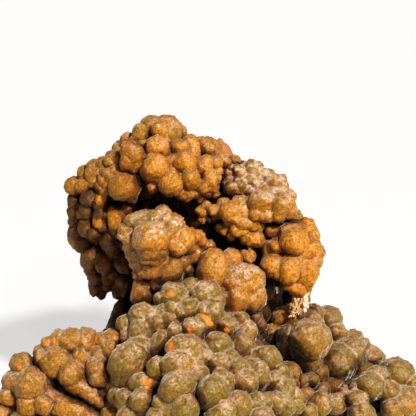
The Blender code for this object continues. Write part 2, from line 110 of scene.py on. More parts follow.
# The lobes of the seen face, as (across, up, back, radius).
SEEN_LOBES = {
    "crest_top": (
        (-5.2, 11.6, 4.2, 1.5), (-3.95, 11.3, 5, 0.95), (-6.9, 11.4, 2.3, 1.75),
        (-5.6, 10.9, 2.4, 1.5), (-10.15, 11.15, 2.8, 1.3), (-10.9, 10.1, 3, 0.9),
        (-10, 9.5, 2.6, 1), (-12.2, 10.3, 4.6, 1), (-12.4, 9.7, 5, 1.1), (-13.2, 9.1, 5.5, 1.1),
        (-2.6, 10, 5, 1.1), (-1.1, 9.8, 5.5, 1.15), (-0.5, 9, 4, 1.3), (0.4, 8.7, 4.2, 0.95),
        (1.1, 6.9, 3.6, 0.95), (1.95, 7.4, 4.6, 0.85), (2.6, 6.8, 4.6, 0.85),
        (4.1, 6.9, 6.2, 0.75), (4.9, 6.3, 6, 0.6),
    ),
    "crest_face": (
        (-7.7, 9.1, 1.3, 1.75), (-6.9, 8.8, 0.6, 1.05), (-8.4, 7.4, 1.2, 1.3),
        (-7.8, 6.2, 0.7, 1.95), (-8.5, 5.5, 1.3, 1.45), (-7, 5.2, 1.2, 1.45),
        (-4.3, 9.1, 1.2, 1.1), (-2.6, 9.4, 2.4, 1.2), (-2.3, 8.2, 2, 1.2),
        (-3.35, 6.85, 0.6, 1.6), (-5.2, 7.2, 1.7, 1.2), (-5.4, 5.8, 1.6, 1.1),
        (-5.5, 3.6, 0.5, 1.8), (-2.5, 4.3, 0.6, 1.4), (-4, 4.9, 1.5, 1.1), (-3.9, 2.4, 1.4, 0.95),
        (-2.7, 2.4, 1.6, 0.85), (-3.2, 1.8, 1.9, 0.7), (-1.8, 2.2, 1.9, 0.6),
        (-8.15, 3.1, 1.6, 0.7), (-7.9, 4.1, 2, 0.8), (-0.4, 6.5, 1.2, 1.2), (1.2, 6.6, 2.1, 0.85),
        (0.1, 5.1, 1.1, 0.95), (1.5, 5.5, 1.9, 0.65), (0.45, 4.1, 1, 1), (1.35, 4.3, 1.7, 0.7),
        (0.3, 3.3, 1.4, 0.8), (-0.6, 3.2, 1.2, 0.85), (-0.05, 2.3, 1.9, 0.65),
        (1.25, 2, 2.2, 0.6), (-1.25, 1.35, 2.6, 0.65), (-1.4, 3.6, 1.4, 0.8), (-1.8, 6, 1.8, 1.1),
        (1.15, 3, 1.8, 0.6),
    ),
    "crest_left": (
        (-11.85, 8.7, 1.5, 1.3), (-12.05, 7, 1.6, 1.15), (-10.9, 7.9, 1.2, 1.3),
        (-10.6, 6.8, 1.7, 0.95), (-11.3, 6.1, 2, 0.8), (-14.7, 7, 3.6, 0.85),
        (-13.6, 7.6, 3.8, 0.9), (-14.3, 7.7, 4.5, 1), (-13.4, 6.5, 3.6, 0.8),
        (-15.9, 6.3, 4.6, 0.9), (-17.2, 6, 5.3, 1.05), (-17.3, 5, 5.1, 1.1),
        (-17.1, 4.1, 5.1, 0.95), (-18.8, 5.1, 6.5, 0.9), (-20.4, 3.2, 7, 1.15),
        (-18.8, 3.5, 6, 1.1), (-15.3, 5.2, 3.4, 0.8), (-14.6, 4.5, 3, 0.75),
        (-15.9, 4.3, 3.7, 0.8), (-15.2, 3.7, 3.3, 0.75), (-16.2, 3.4, 4.2, 0.8),
        (-15.5, 2.8, 3.8, 0.85), (-16.4, 5.3, 4.2, 0.8), (-14.3, 5.7, 3.2, 0.75),
        (-13.4, 5.3, 3.1, 0.8), (-12.3, 5.1, 3, 0.8), (-11.4, 5.1, 3.2, 0.6),
        (-11.5, 1.5, 3, 0.65),
    ),
    "hanging_lobe": (
        (-20, 1, 8, 1.1), (-17.75, 1.3, 5.6, 1.25), (-18.2, -0.5, 6.4, 1.2),
        (-16.3, 0.3, 4.8, 0.9), (-16, -1, 4.6, 0.85), (-15.7, -3, 5, 0.75), (-13.6, -3.4, 4.6, 1),
        (-16.9, -3.8, 5.6, 0.9), (-14.5, -4.7, 5.6, 1.1), (-14, -5.9, 6, 1.3),
        (-12.4, -5.6, 5.6, 1),
    ),
    "hanging_bright": (
        (-16, 1.5, 4.4, 1), (-16.2, -2, 4.8, 0.85), (-14.1, -0.8, 4.6, 0.75),
        (-13.7, -1.9, 4, 1.3), (-12.3, -0.5, 4.2, 0.8),
    ),
    "hanging_foot": (
        (-20.1, -0.6, 8.6, 1), (-20, -1.9, 9, 1), (-19.9, -3.5, 9.4, 1.1),
        (-18.9, -5.2, 9.6, 1.25), (-18.2, -0.4, 6.4, 1.2), (-14.6, -5.4, 6, 1.3),
        (-14, -6.5, 6.6, 1.1), (-18.4, -3.2, 6.8, 1.3), (-17.4, -7.4, 9, 1.3),
        (-17.3, -8.9, 9.6, 1.3), (-16.8, -10.4, 10.2, 1.25), (-15.2, -8.6, 7.6, 1.5),
        (-14.9, -10.2, 9, 1.3), (-13.6, -9.8, 8.4, 1.25), (-13.5, -11.2, 9.6, 1),
        (-17, -11.7, 10.6, 0.8), (-15.8, -12, 10.6, 0.75), (-15.6, -12.9, 10.8, 0.5),
        (-12.4, -11.2, 8, 1.2), (-12, -8.6, 6, 1.3), (-16.9, -12.5, 10.6, 0.8),
        (-15.9, -13.1, 10.6, 0.65), (-13.3, -12.5, 9.4, 0.85), (-14.9, -11.5, 9.9, 0.85),
        (-12.5, -12.7, 8.6, 0.55),
    ),
    "front_ball": (
        (-5.4, -2.9, -1.6, 2.1),
    ),
    "front_head": (
        (-6.65, -1.1, -0.6, 1.5), (-9.4, -1.3, -0.5, 1.1), (-11.2, -1.8, -0.5, 1.15),
        (-10.3, -1.4, -0.7, 1), (-8.3, -1.6, -1.4, 1.2), (-12.4, -3.3, -0.4, 1.05),
        (-12.5, -4.3, -0.5, 1), (-11.8, -4.6, -0.8, 1.15), (-11.7, -5.8, -0.4, 1.15),
        (-11.4, -7.1, -0.2, 1.1), (-10.9, -8.4, 0.2, 0.9), (-10.6, -6.8, -0.9, 1.15),
        (-10.3, -8.1, -0.4, 0.95), (-9.9, -2.4, -1.4, 1.3), (-7.2, -1.8, -1.2, 1.3),
    ),
    "head_cheek": (
        (-3.5, -4.6, -1.9, 1.75), (-4.5, -5.7, -2.3, 1.45), (-2, -4.4, -0.8, 1.2),
        (-2.9, -6.1, -1.4, 1), (-1.35, -4.1, -0.2, 0.8), (0.1, -5.8, 0.2, 0.85),
        (-1, -5.2, -0.2, 0.85), (-2, -7.1, -0.6, 1),
    ),
    "head_chin": (
        (-9.9, -6.4, -2.5, 0.85), (-9, -6.75, -3.1, 0.9), (-8, -6.8, -3.2, 0.9),
        (-7, -6.5, -3, 0.85), (-9.3, -7.6, -2.1, 0.85), (-8.2, -7.8, -2.3, 0.85),
        (-7.2, -7.4, -2.2, 0.8),
    ),
    "front_stalk": (
        (-5.6, -8.9, -0.8, 2.3), (-7.4, -9.4, -0.4, 1.7), (-3.5, -7.9, -0.8, 0.85),
        (-3.2, -9.3, -0.4, 0.85), (-9.4, -9.4, 0.2, 1), (-7.4, -11.4, 0.4, 1),
        (-6.4, -11.6, 0.2, 0.8), (-10.2, -13.3, 1.6, 1.4), (-10.3, -10, 0.8, 0.85),
        (-10.5, -11.8, 1.1, 0.85), (-5.2, -10.6, 0, 1.5), (-1.6, -10.7, 0.4, 1),
        (-6.6, -6.6, -0.6, 1.5), (-9, -12, 0.8, 0.8),
    ),
    "right_face": (
        (6.4, 6.5, 5, 0.8), (7.4, 6.4, 5, 0.65), (4.5, 5.95, 4.2, 0.8), (4.7, 5.2, 3.7, 0.75),
        (6.5, 5.3, 4, 0.95), (6.2, 4.15, 3.3, 0.9), (4.9, 3.5, 3.2, 0.8), (4.5, 4.4, 3.6, 0.6),
        (7.4, 4.3, 3.8, 0.7), (3.25, 2.9, 3.2, 0.85), (6.05, 2.4, 2.8, 0.75),
        (4.4, 2.4, 3.2, 0.65), (5.2, 2.8, 3, 0.6), (7.2, 3.3, 3, 0.7), (8, 3.1, 2.9, 0.75),
        (8.9, 4.1, 3.8, 0.75), (8, 5.3, 4.6, 0.75), (8.6, 4.8, 4.4, 0.6), (9.2, 5, 5, 0.7),
        (10.2, 4.4, 5, 0.6), (11.15, 4.3, 5.4, 0.6), (11.2, 3.5, 4.8, 0.7), (10.2, 3.6, 4.4, 0.6),
        (9.8, 3.2, 3.6, 0.7), (10.8, 3, 3.8, 0.7), (3, 4.3, 3.9, 0.5), (2.7, 5.1, 4.2, 0.6),
        (3.1, 6.2, 4.6, 0.6), (5.4, 6.5, 5.2, 0.6), (2.6, 3.6, 4, 0.4), (5.5, 1.7, 2.8, 0.55),
        (6.9, 2.3, 2.6, 0.55), (3.7, 1.9, 3.4, 0.5), (5.5, 5.5, 4.4, 0.6),
    ),
    "right_upper_lobe": (
        (11.2, 2, 1.5, 1.3), (12.3, 1.6, 1.8, 1.1), (10, 2, 1, 1.2), (7.7, 1, -0.2, 1.55),
        (8.6, 0.9, -0.6, 1.5), (7.5, -0.6, -0.2, 1.15), (8.8, -0.8, -0.5, 1.2),
        (10.9, 0.4, -0.7, 1.65), (11.9, 0.6, 0, 1.35), (10.7, -0.8, -0.5, 1.15),
        (12.2, -0.6, 0.2, 1.05), (6.5, 0.9, 0.8, 0.95), (9.7, 0.6, -0.2, 1.2),
        (12.9, -0.6, 1.3, 0.6),
    ),
    "right_lower_lobe": (
        (12.8, -4.9, -0.9, 2.15), (12.2, -3.6, -0.2, 1.3), (14.5, -3.1, 1.4, 1.5),
        (15.6, -4.5, 1.5, 1.2), (10.1, -5.8, -0.4, 1.15), (9.1, -6.2, 0.4, 0.9),
        (15.45, -6.4, 0.6, 1.5), (14.4, -6.6, -0.3, 1.2), (12.3, -7.6, -0.7, 0.95),
        (13.5, -7.7, -0.5, 1.1), (9.4, -8.8, -0.6, 1.5), (10.4, -9.3, -0.8, 1.3),
        (12.05, -9.5, -1.4, 1.65), (14.8, -9.8, -0.4, 1.75), (13.5, -12, 0, 1.35),
        (14.6, -11.3, 0.2, 1.25), (12.2, -11.3, 0, 1), (9.3, -3.6, 1, 0.8), (10.4, -3.7, 1, 0.85),
        (15.8, -8, 0.9, 1.3), (9.2, -7.6, 0.5, 1),
    ),
    "recess": (
        (3.3, -0.5, 0.9, 1.45), (4.2, -1.4, 0.7, 1.05), (5.1, -0.4, 1, 1.25),
        (5.9, -1.1, 0.8, 0.95), (5, -2.2, 0.5, 0.9), (6, -2.2, 0.5, 0.9), (6.9, -2.7, 0.7, 0.75),
        (7.6, -3.1, 1, 0.6), (4.2, -3.2, 0.9, 0.9), (5.3, -3.3, 0.8, 0.85),
        (6.4, -4.7, 0.8, 0.95), (7.4, -4.9, 0.9, 0.9), (8.1, -5.4, 1.2, 0.6),
        (5.5, -4.5, 1.1, 0.8), (0.7, -0.3, 2, 0.75), (1.7, -0.1, 2, 0.6), (2.1, 0.6, 2.2, 0.7),
        (1.9, -1.2, 2.1, 0.55), (-1.25, -0.5, 2.4, 0.75), (-0.4, 0.4, 2.4, 0.6),
        (-1.1, -1.7, 2.8, 0.6), (2.4, -3.4, 2.4, 0.7), (1.6, -3, 2.8, 0.55),
        (3.3, -4.3, 1.5, 0.55), (6.15, -7.4, 1.3, 0.85), (5.5, -6.8, 1.7, 0.5),
        (2.9, -1.9, 1.3, 0.7), (3.6, -2.5, 1.1, 0.6), (4.3, 0.8, 1.5, 0.9), (6.8, -1.9, 1.3, 0.8),
        (7.2, -3.9, 1.5, 0.8),
    ),
    "mound_shoulder": (
        (4.7, -13.2, -1.8, 2), (7.3, -13.3, -1.4, 1.65), (7.1, -16.3, 0, 0.85),
        (8.1, -17.5, 0.6, 0.85),
    ),
    "mound_ball": (
        (0.8, -8.6, -1.2, 2.25), (3.4, -7.8, 0.1, 1.65), (4.4, -8.4, 1.2, 1),
    ),
    "mound_top": (
        (-5.2, -13.1, -3.2, 2), (-2.7, -11.9, -2.4, 1.4), (-0.3, -13.1, -3.4, 2.3),
        (-2.7, -15, -4.6, 1.65), (0.4, -15.6, -5.2, 2), (-2.3, -18.2, -6.9, 1.55),
        (3, -17.9, -5.7, 1.4), (2.7, -16.5, -4.4, 1), (4.9, -17.1, -3.6, 1.45),
        (5.8, -18.6, -3.8, 1.85), (5, -20.5, -5.9, 1.6), (1.4, -20.7, -7.8, 2),
        (-7.3, -13.5, -3.3, 0.8), (-6.8, -16, -3.7, 1.3), (-6, -17.1, -4.7, 1.3),
        (-8.2, -15.8, -3.2, 1.1), (-5.5, -15.3, -4.4, 1.1), (-8, -17.5, -4.5, 1.4),
        (-5.1, -18.8, -6.6, 1.35), (-7.2, -20, -6.4, 1.5), (-0.6, -17.4, -6, 1.5),
        (-4, -15.5, -4.4, 1.5), (-10, -16.5, -3.4, 2), (-12.4, -17.1, -2.4, 1.2),
        (-10.2, -18.2, -4.4, 1.6), (-12.4, -19, -3.4, 1),
    ),
    "mound_front": (
        (6.3, -21.2, -4.7, 1.4), (-3.5, -21.7, -9.5, 2.8), (-4.3, -23.9, -11.4, 2.65),
        (-4.3, -26.8, -13.6, 2.55), (-1.5, -25.4, -12.4, 1.4), (0.8, -27.7, -14, 2.25),
        (2.3, -26.2, -11.9, 1.55), (4.4, -24.1, -9.7, 1.5), (7.3, -25.1, -8.5, 2.1),
        (8.8, -23.8, -6, 1.3), (9, -22.6, -5.4, 2.15), (9.9, -25.9, -7.5, 1.4),
        (10.9, -24.5, -6.1, 1.4), (11.4, -27.2, -7.4, 1.85), (5.7, -26.2, -10.7, 1.8),
        (4.8, -29.3, -13.3, 1.8), (7.1, -29.4, -11.8, 1.4), (8.4, -29.1, -11.2, 1.4),
        (2.7, -30.3, -14.6, 1.75), (10.1, -29.3, -9.5, 1.5), (-6.7, -29.3, -12.8, 1.6),
        (-5.3, -30.5, -13.8, 1.7), (-7.4, -23.8, -10.6, 1.3), (1.5, -23.4, -9.8, 1.6),
        (3.2, -22.4, -8.6, 1.3), (-0.9, -22.6, -9.2, 1.5), (12.9, -28.2, -7, 1.4),
        (13.1, -29.6, -7.6, 1.2), (11.7, -29.6, -9, 1.4), (-11.8, -23, -6.6, 3.1),
        (-10.3, -21.6, -5.4, 2.4), (-9.6, -26.3, -9.6, 1.5), (-8.6, -26.2, -9.8, 1.4),
        (-10.5, -26.3, -9.2, 1.3), (-12.3, -28.9, -8.6, 1.7), (-9.9, -28.8, -10.8, 1.9),
        (-13.4, -25.4, -6, 1.1), (-3.5, -30, -15, 2), (-12, -31.6, -10, 1.8),
        (-7.4, -31.9, -13.4, 2), (8, -32, -13, 2), (2, -31.6, -15.2, 2),
    ),
    "left_fingers": (
        (-18.3, -20.3, -2, 1.8), (-20.6, -20.3, -2.2, 1.7), (-22.5, -20.1, -2, 1.3),
        (-14.1, -19.8, -2.4, 1.4), (-15.7, -20.3, -2, 1.25), (-14.9, -21.5, -3.2, 1.3),
        (-16.6, -22.3, -3, 1.14), (-23.2, -23.1, -3.4, 2.03), (-25.1, -22.5, -2.6, 0.99),
        (-20.7, -24.8, -4.4, 1.82), (-16.6, -24.3, -5, 1.56), (-16.6, -25.2, -5.2, 1.35),
        (-26.7, -26.5, -4, 2.34), (-28.5, -26, -3.2, 1.46), (-29.3, -26.1, -2.6, 1.4),
        (-28, -23.5, -2, 1.4), (-30, -28.2, -2.6, 1.35), (-27, -29.4, -4.2, 1.46),
        (-24.8, -29.5, -4.8, 1.35), (-31, -31, -2, 1.66), (-19, -22.6, -3, 1.56),
        (-24.4, -27.4, -3.4, 1.04), (-24.2, -20.6, -2, 0.85), (-25.4, -21.7, -2, 0.85),
    ),
    "right_rear": (
        (9.6, -19.4, 2.8, 0.94), (15.3, -20, -2, 2.76), (15.5, -23, -1.4, 1.46),
        (12, -19.3, 0, 1.4), (11.9, -20.5, 0, 1.25), (15.3, -17.2, 3, 1.66), (16, -15.7, 8, 1.3),
        (17.9, -17.1, 9, 1.9), (18.9, -19, 8, 1.7), (19.1, -23.7, 2.4, 2.81),
        (21.3, -22.5, 5, 2.44), (21.8, -20.2, 9, 1.4), (24.4, -22.8, 8, 1.85),
        (28.4, -25.5, 1.4, 2.39), (24.6, -26.9, -2.4, 1.87), (25.4, -25.6, -0.4, 1.46),
        (22.6, -27.2, -1.6, 1.2), (30.3, -26.8, 0.4, 1.46), (27.4, -28, -1.8, 1.46),
        (29.6, -29.3, -2.4, 1.87), (27.7, -30.2, -3.2, 1.56), (22.7, -28.8, -3, 1.51),
        (23.1, -31.2, -4.4, 1.87), (20.2, -27.7, -1.8, 0.99), (16.9, -29.6, -4.4, 1.61),
        (19.2, -29.5, -3.4, 1.35), (15, -30.8, -6, 1.25), (13.9, -26, -3, 1.04),
        (15.5, -25.6, -2, 0.94), (17, -27.4, -2, 0.94), (31.5, -29, -0.6, 1.77),
        (23.2, -20.7, 8, 1), (26.8, -24, 4, 1.1),
    ),
    "rear_gold": (
        (11.3, -16.6, 4, 1.56), (13, -16.6, 3.6, 1.4), (9.8, -18.6, 3, 0.99),
    ),
}

# Long lobes and tapering stalks, as (group, start, end, start radius, end radius), with the ends
# as in SEEN_LOBES.
STALKS = (
    ("crest_top", (-8.9, 11.95, 4.0), (-5.8, 12.0, 4.0), 1.6, 1.7),
    ("crest_left", (-13.2, 2.95, 1.7), (-12.2, 2.85, 1.6), 1.6, 1.55),
    ("front_ball", (-9.5, -4.4, -2.7), (-7.8, -4.5, -3.1), 2.0, 1.9),
    ("mound_shoulder", (4.6, -10.5, -1.5), (6.6, -10.5, -1.5), 1.95, 1.9),
    ("left_fingers", (-20.4, -25.6, -3.8), (-15.6, -29.4, -4.6), 1.35, 0.65),
    ("left_fingers", (-26.0, -27.6, -2.6), (-17.5, -31.8, -5.0), 1.3, 1.2),
    ("left_fingers", (-24.9, -26.4, -2.8), (-22.6, -28.6, -3.2), 0.75, 0.7),
    ("front_stalk", (-10.25, -8.50, -0.35), (-9.80, -10.30, -0.50), 0.22, 0.18),
    ("front_stalk", (-9.89, -8.47, -0.58), (-9.44, -10.27, -0.72), 0.22, 0.18),
    ("front_stalk", (-9.53, -8.44, -0.81), (-9.08, -10.24, -0.94), 0.22, 0.18),
    ("front_stalk", (-9.17, -8.41, -1.04), (-8.72, -10.21, -1.16), 0.22, 0.18),
    ("front_stalk", (-8.81, -8.50, -1.27), (-8.36, -10.18, -1.38), 0.22, 0.18),
    ("front_stalk", (-8.45, -8.50, -1.50), (-8.00, -10.15, -1.60), 0.22, 0.18),
    ("front_stalk", (-8.09, -8.50, -1.73), (-7.64, -10.12, -1.82), 0.22, 0.18),
    ("front_stalk", (-7.73, -8.50, -1.96), (-7.28, -10.09, -2.04), 0.22, 0.18),
    ("front_stalk", (-8.1, -11.2, -0.3), (-7.9, -12.2, -0.3), 0.28, 0.24),
    ("front_stalk", (-7.5, -11.1, -0.5), (-7.3, -12.2, -0.5), 0.28, 0.24),
    ("front_stalk", (-6.9, -11.0, -0.6), (-6.7, -12.0, -0.6), 0.28, 0.24),
    ("column", (-12.5, -14.4, 9.0), (-13.9, -18.6, 9.5), 1.2, 1.5),
    ("rear_spike", (2.3, 7.5, 21.5), (1.9, 10.0, 22.0), 1.35, 0.2),
)

# Which groups of lobes and cores make each mass.
MASSES = {
    "crest": (("crest_top", "crest_face", "crest_left"), ("crest",)),
    "hanging_lobe": (("hanging_lobe", "hanging_bright", "hanging_foot"), ("hanging_lobe",)),
    "front_head": (
        ("front_ball", "front_head", "head_cheek", "head_chin", "front_stalk"), ("front_head",)
    ),
    "right_shoulder": (
        ("right_face", "right_upper_lobe", "right_lower_lobe", "recess"), ("right_shoulder",)
    ),
    "mound": (("mound_shoulder", "mound_ball", "mound_top", "mound_front"), ("mound",)),
    "left_fingers": (("left_fingers",), ()),
    "right_rear": (("right_rear", "rear_gold"), ()),
    "column": ((), ("column",)),
    "base": ((), ("base",)),
    "rear_spike": (("rear_spike",), ()),
}

# The look of each group of lobes or cores: from 0 olive to 1 ochre, painted shade from 0 bright to
# 1 dark (below 0, spared the painted shade where it is sheltered), and how strong the pale rims of
# painted sheen and the thin pale film, partly painted top light, are.
TONES = {
    "crest_top": (0.6, 0.0, 0.35, 0.4),
    "crest_face": (1.0, 0.0, 0.25, 0.3),
    "crest_left": (0.9, 0.25, 0.25, 0.3),
    # The hanging lobe and its foot are darkened as painted shade under the crest and head.
    "hanging_lobe": (0.95, 0.8, 0.1, 0.0),
    "hanging_bright": (1.0, 0.0, 0.1, 0.1),
    "hanging_foot": (0.95, 0.75, 0.1, 0.1),
    "front_ball": (0.7, 0.0, 0.3, 1.3),
    "front_head": (0.4, 0.0, 0.35, 0.6),
    "head_cheek": (0.85, 0.0, 0.15, 0.2),
    "head_chin": (0.8, 0.3, 0.15, 1.0),
    "front_stalk": (0.5, 0.15, 0.25, 0.15),
    "right_face": (0.35, 0.0, 0.9, 0.5),
    "right_upper_lobe": (0.8, 0.0, 0.35, 1.3),
    "right_lower_lobe": (0.95, 0.0, 0.2, 0.2),
    "recess": (0.95, -0.6, 0.25, 0.25),
    "mound_shoulder": (0.6, 0.0, 0.35, 1.4),
    "mound_ball": (0.8, 0.0, 0.3, 0.25),
    "mound_top": (0.0, 0.0, 0.6, 0.75),
    "mound_front": (0.0, 0.0, 0.6, 0.65),
    "left_fingers": (0.65, 0.05, 0.4, 0.7),
    "right_rear": (0.1, 0.0, 0.6, 0.6),
    "rear_gold": (0.6, -0.7, 0.4, 0.5),
    # The cores are darkened as painted shade, for where they show deep in the gaps.
    "crest": (0.7, 0.8, 0.2, 0.3),
    "right_shoulder": (0.7, 0.8, 0.2, 0.3),
    "mound": (0.3, 0.6, 0.3, 0.3),
    "column": (0.5, 0.9, 0.2, 0.3),
    "base": (0.3, 0.4, 0.4, 0.5),
    "rear_spike": (1.0, 0.0, 0.0, 0.0),
}

# The share of its core's shade that a rear or fill lobe keeps.
HIDDEN_SHADE = 0.1

# How rear and fill lobes are spread over the cores: their spacing in mean radii, how far one is
# sunk in its core and may lie in another core or a bed, in its radii, and the most on one core.
SPREAD = 1.15
SUNK = 0.15
IN_CORE = 0.5
IN_BED = 0.2
MOST_ON_CORE = 400

# How close two such lobes may come, as a share of their joined radii.
REAR_GAP = 0.72
FILL_GAP = 0.62

# Buds: the least radius of a lobe that carries them, their radius as a share of the lobe's, and
# how far they are sunk in it, in their own radii.
LEAST_BUDDING = 0.7
BUD_SIZE = (0.5, 0.8)
BUD_SUNK = (0.82, 0.97)

# How much larger than the lobes the balls of the first, rough skin are.
BALL_MARGIN = 1.04

# How many of the nearest spheres shape each point of the skin.
NEAREST = 14

# The farthest that a point of the rough skin is moved, in millimetres, and the limits that keep
# each step of it sound.
FARTHEST_MOVE = 0.3
LEAST_STEEPNESS = 0.3
STEEPEST_PULL = 30

# How shelter is sampled: the side of its cells, the rays from each with their start and reach, the
# least radius of a lobe that shelters, how far the rays spread, and the rounds of smoothing.
SHELTER_CELL = 0.5
SHELTER_RAYS = 16
SHELTER_START = 0.3
SHELTER_REACH = 9.0
SHELTER_LEAST = 0.6
SHELTER_SPREAD = 0.98
SHELTER_SMOOTHING = 3

# A valley's width in millimetres, and the cosine between two lobes' skins below which it shows.
# The finish paints valleys brown, as painted shade in the creases.
VALLEY_WIDTH = 0.3
VALLEY_COSINE = 0.6

# How each mass's lobes sit: the depth and width of the bed behind a lobe, in its radii, and the
# number of buds on a lobe for each millimetre of its radius.
LOOSE = (0.7, 1.08, 2.4)
CLOSE = (0.6, 1.2, 1.0)
SEATS = {"mound": CLOSE, "right_rear": CLOSE, "left_fingers": CLOSE, "front_head": (0.6, 1.14, 1.5)}

# How much coarser than the seen masses the others are drawn.
COARSER = {"base": 1.5, "column": 1.35}

# The tuft's parts, as (start, end, scatter, number of crystals, their width and length, colour),
# with the ends as in SEEN_LOBES.
TUFT_PARTS = (
    ((15.0, -12.7, 0.9), (14.6, -13.4, 0.7), 0.1, 14, (0.25, 0.6), "pale"),
    ((14.5, -13.4, 0.7), (14.6, -15.0, 0.6), 0.13, 16, (0.5, 1.5), "pale"),
    ((13.35, -13.4, 0.6), (12.95, -15.6, 0.3), 0.36, 80, (0.3, 0.45), "gold"),
    ((13.35, -13.6, 0.3), (12.95, -15.6, 0.0), 0.34, 30, (0.22, 0.35), "pale"),
    ((13.3, -15.5, 0.4), (12.2, -16.3, 0.3), 0.14, 14, (0.25, 0.5), "pale"),
    ((10.3, -12.2, 0.4), (10.3, -12.6, 0.4), 0.06, 3, (0.4, 0.8), "pale"),
)

# The range of a crystal's size against its part's, and how far it leans off the part's line.
CRYSTAL_VARIETY = (0.8, 1.3)
CRYSTAL_LEAN = 0.25

# The unevenness of the skin, as (length, height) of its waves in millimetres, the number of waves
# of each length, and the range of their phases.
RIPPLES = ((5.0, 0.10), (3.1, 0.07), (2.0, 0.05), (1.3, 0.05), (0.9, 0.045), (0.65, 0.03))
CROSSED_WAVES = 4
PHASES = (0, 6.28)

# How strong a spot is: at its middle, the loss for each radius away from it, and the least.
SPOT_MIDDLE = 1.2
SPOT_LOSS = 0.9
SPOT_LEAST = -0.6

# The finish's noises, as (cycles for each millimetre, detail).
NOISES = {
    "broad": (0.22, 3), "patchy": (0.7, 3), "grains": (2.4, 3), "speckle": (4.5, 3),
    "fine": (8.0, 2), "torn": (2.2, 3),
}

# What every mass's surface shares, and the strength and depth of its fine relief.
SURFACE = {
    "Sheen Roughness": 0.35, "Specular IOR Level": 0.35, "Sheen Tint": (1.0, 0.86, 0.62, 1),
    "Coat Roughness": 0.18,
}
RELIEF_STRENGTH = 0.85
RELIEF_DEPTH = 0.12

# The colours and the skin's attributes that the finish reads.
PALETTE = ("olive", "ochre", "brown", "painted_sheen", "mauve", "orange", "red")
LAYERS = (
    "Warmth", "Shade", "Crease", "Valley", "Tint", "Upward", "Shelter", "Flake", "Rust", "Painted_rim_sheen",
    "Top_lit_film",
)

# Bright orange flakes on the seen face, as (across, up, radius).
ORANGE_FLAKES = (
    (-0.9, -15.9, 0.45), (-0.5, -16.4, 0.45), (0.1, -17.0, 0.5), (0.5, -17.4, 0.45),
    (-4.2, -17.2, 0.5), (-4.8, -16.9, 0.35), (-3.4, -17.0, 0.35), (-2.8, -18.3, 0.55),
    (2.8, -18.4, 0.6), (-5.6, -20.8, 0.8), (-9.0, -26.2, 0.7), (-24.1, -20.2, 0.5),
    (-23.2, -19.7, 0.4), (-25.4, -22.3, 0.45), (-28.2, -24.0, 0.5), (-5.7, -12.8, 0.5),
    (-1.0, -10.8, 0.45), (3.0, -7.2, 0.35), (2.1, -7.4, 0.3), (13.0, -12.0, 0.7), (11.2, 3.6, 0.35),
    (11.3, 4.4, 0.3), (6.9, -5.0, 0.35), (5.0, -11.6, 0.3),
)

# Dull red spots on the seen face, in the same form.
RUST_SPOTS = (
    (-12.1, 8.9, 0.55), (-12.3, 7.0, 0.45), (-9.9, 11.3, 0.35), (-8.4, 9.9, 0.3), (-7.7, 11.7, 0.3),
    (-10.6, 10.2, 0.25), (-17.4, 6.0, 0.4), (12.2, -3.6, 0.4), (14.9, -9.2, 0.4), (-8.6, -4.6, 0.5),
    (15.6, -6.9, 0.4), (9.3, 0.6, 0.3),
)


class MottramiteGrowth(PropertyGroup):
    """How the lobes grow and how finely their skin is drawn."""
    grain: FloatProperty(
        name="Skin grain", description="Edge length of the skin's faces",
        default=0.00026, min=0.0001, unit="LENGTH",
    )
    blend: FloatProperty(
        name="Crease softness", description="Radius over which two lobes run together",
        default=0.00005, min=0.00001, unit="LENGTH",
    )
    bud_blend: FloatProperty(
        name="Bud softness", description="Radius over which a bud runs into its lobe",
        default=0.0002, min=0.00001, unit="LENGTH",
    )
    hidden_small: FloatProperty(
        name="Smallest rear lobe", description="Least radius of a lobe on the unseen faces",
        default=0.0013, min=0.0005, unit="LENGTH",
    )
    hidden_large: FloatProperty(
        name="Largest rear lobe", description="Greatest radius of a lobe on the unseen faces",
        default=0.0025, min=0.0005, unit="LENGTH",
    )
    fill_small: FloatProperty(
        name="Smallest fill lobe", description="Least radius of the fine lobes between the others",
        default=0.0006, min=0.0003, unit="LENGTH",
    )
    fill_large: FloatProperty(
        name="Largest fill lobe",
        description="Greatest radius of the fine lobes between the others",
        default=0.0012, min=0.0003, unit="LENGTH",
    )
    buds: FloatProperty(
        name="Buds", description="How many buds the lobes carry, against the usual number",
        default=1.0, min=0.0,
    )
    # The rim is the band along the creases that takes the painted sheen.
    rim: FloatProperty(
        name="Rim width", description="Width of the pale bloom along the creases",
        default=0.0005, min=0.00001, unit="LENGTH",
    )
    seed: IntProperty(name="Seed", description="Seed of the growth", default=7)


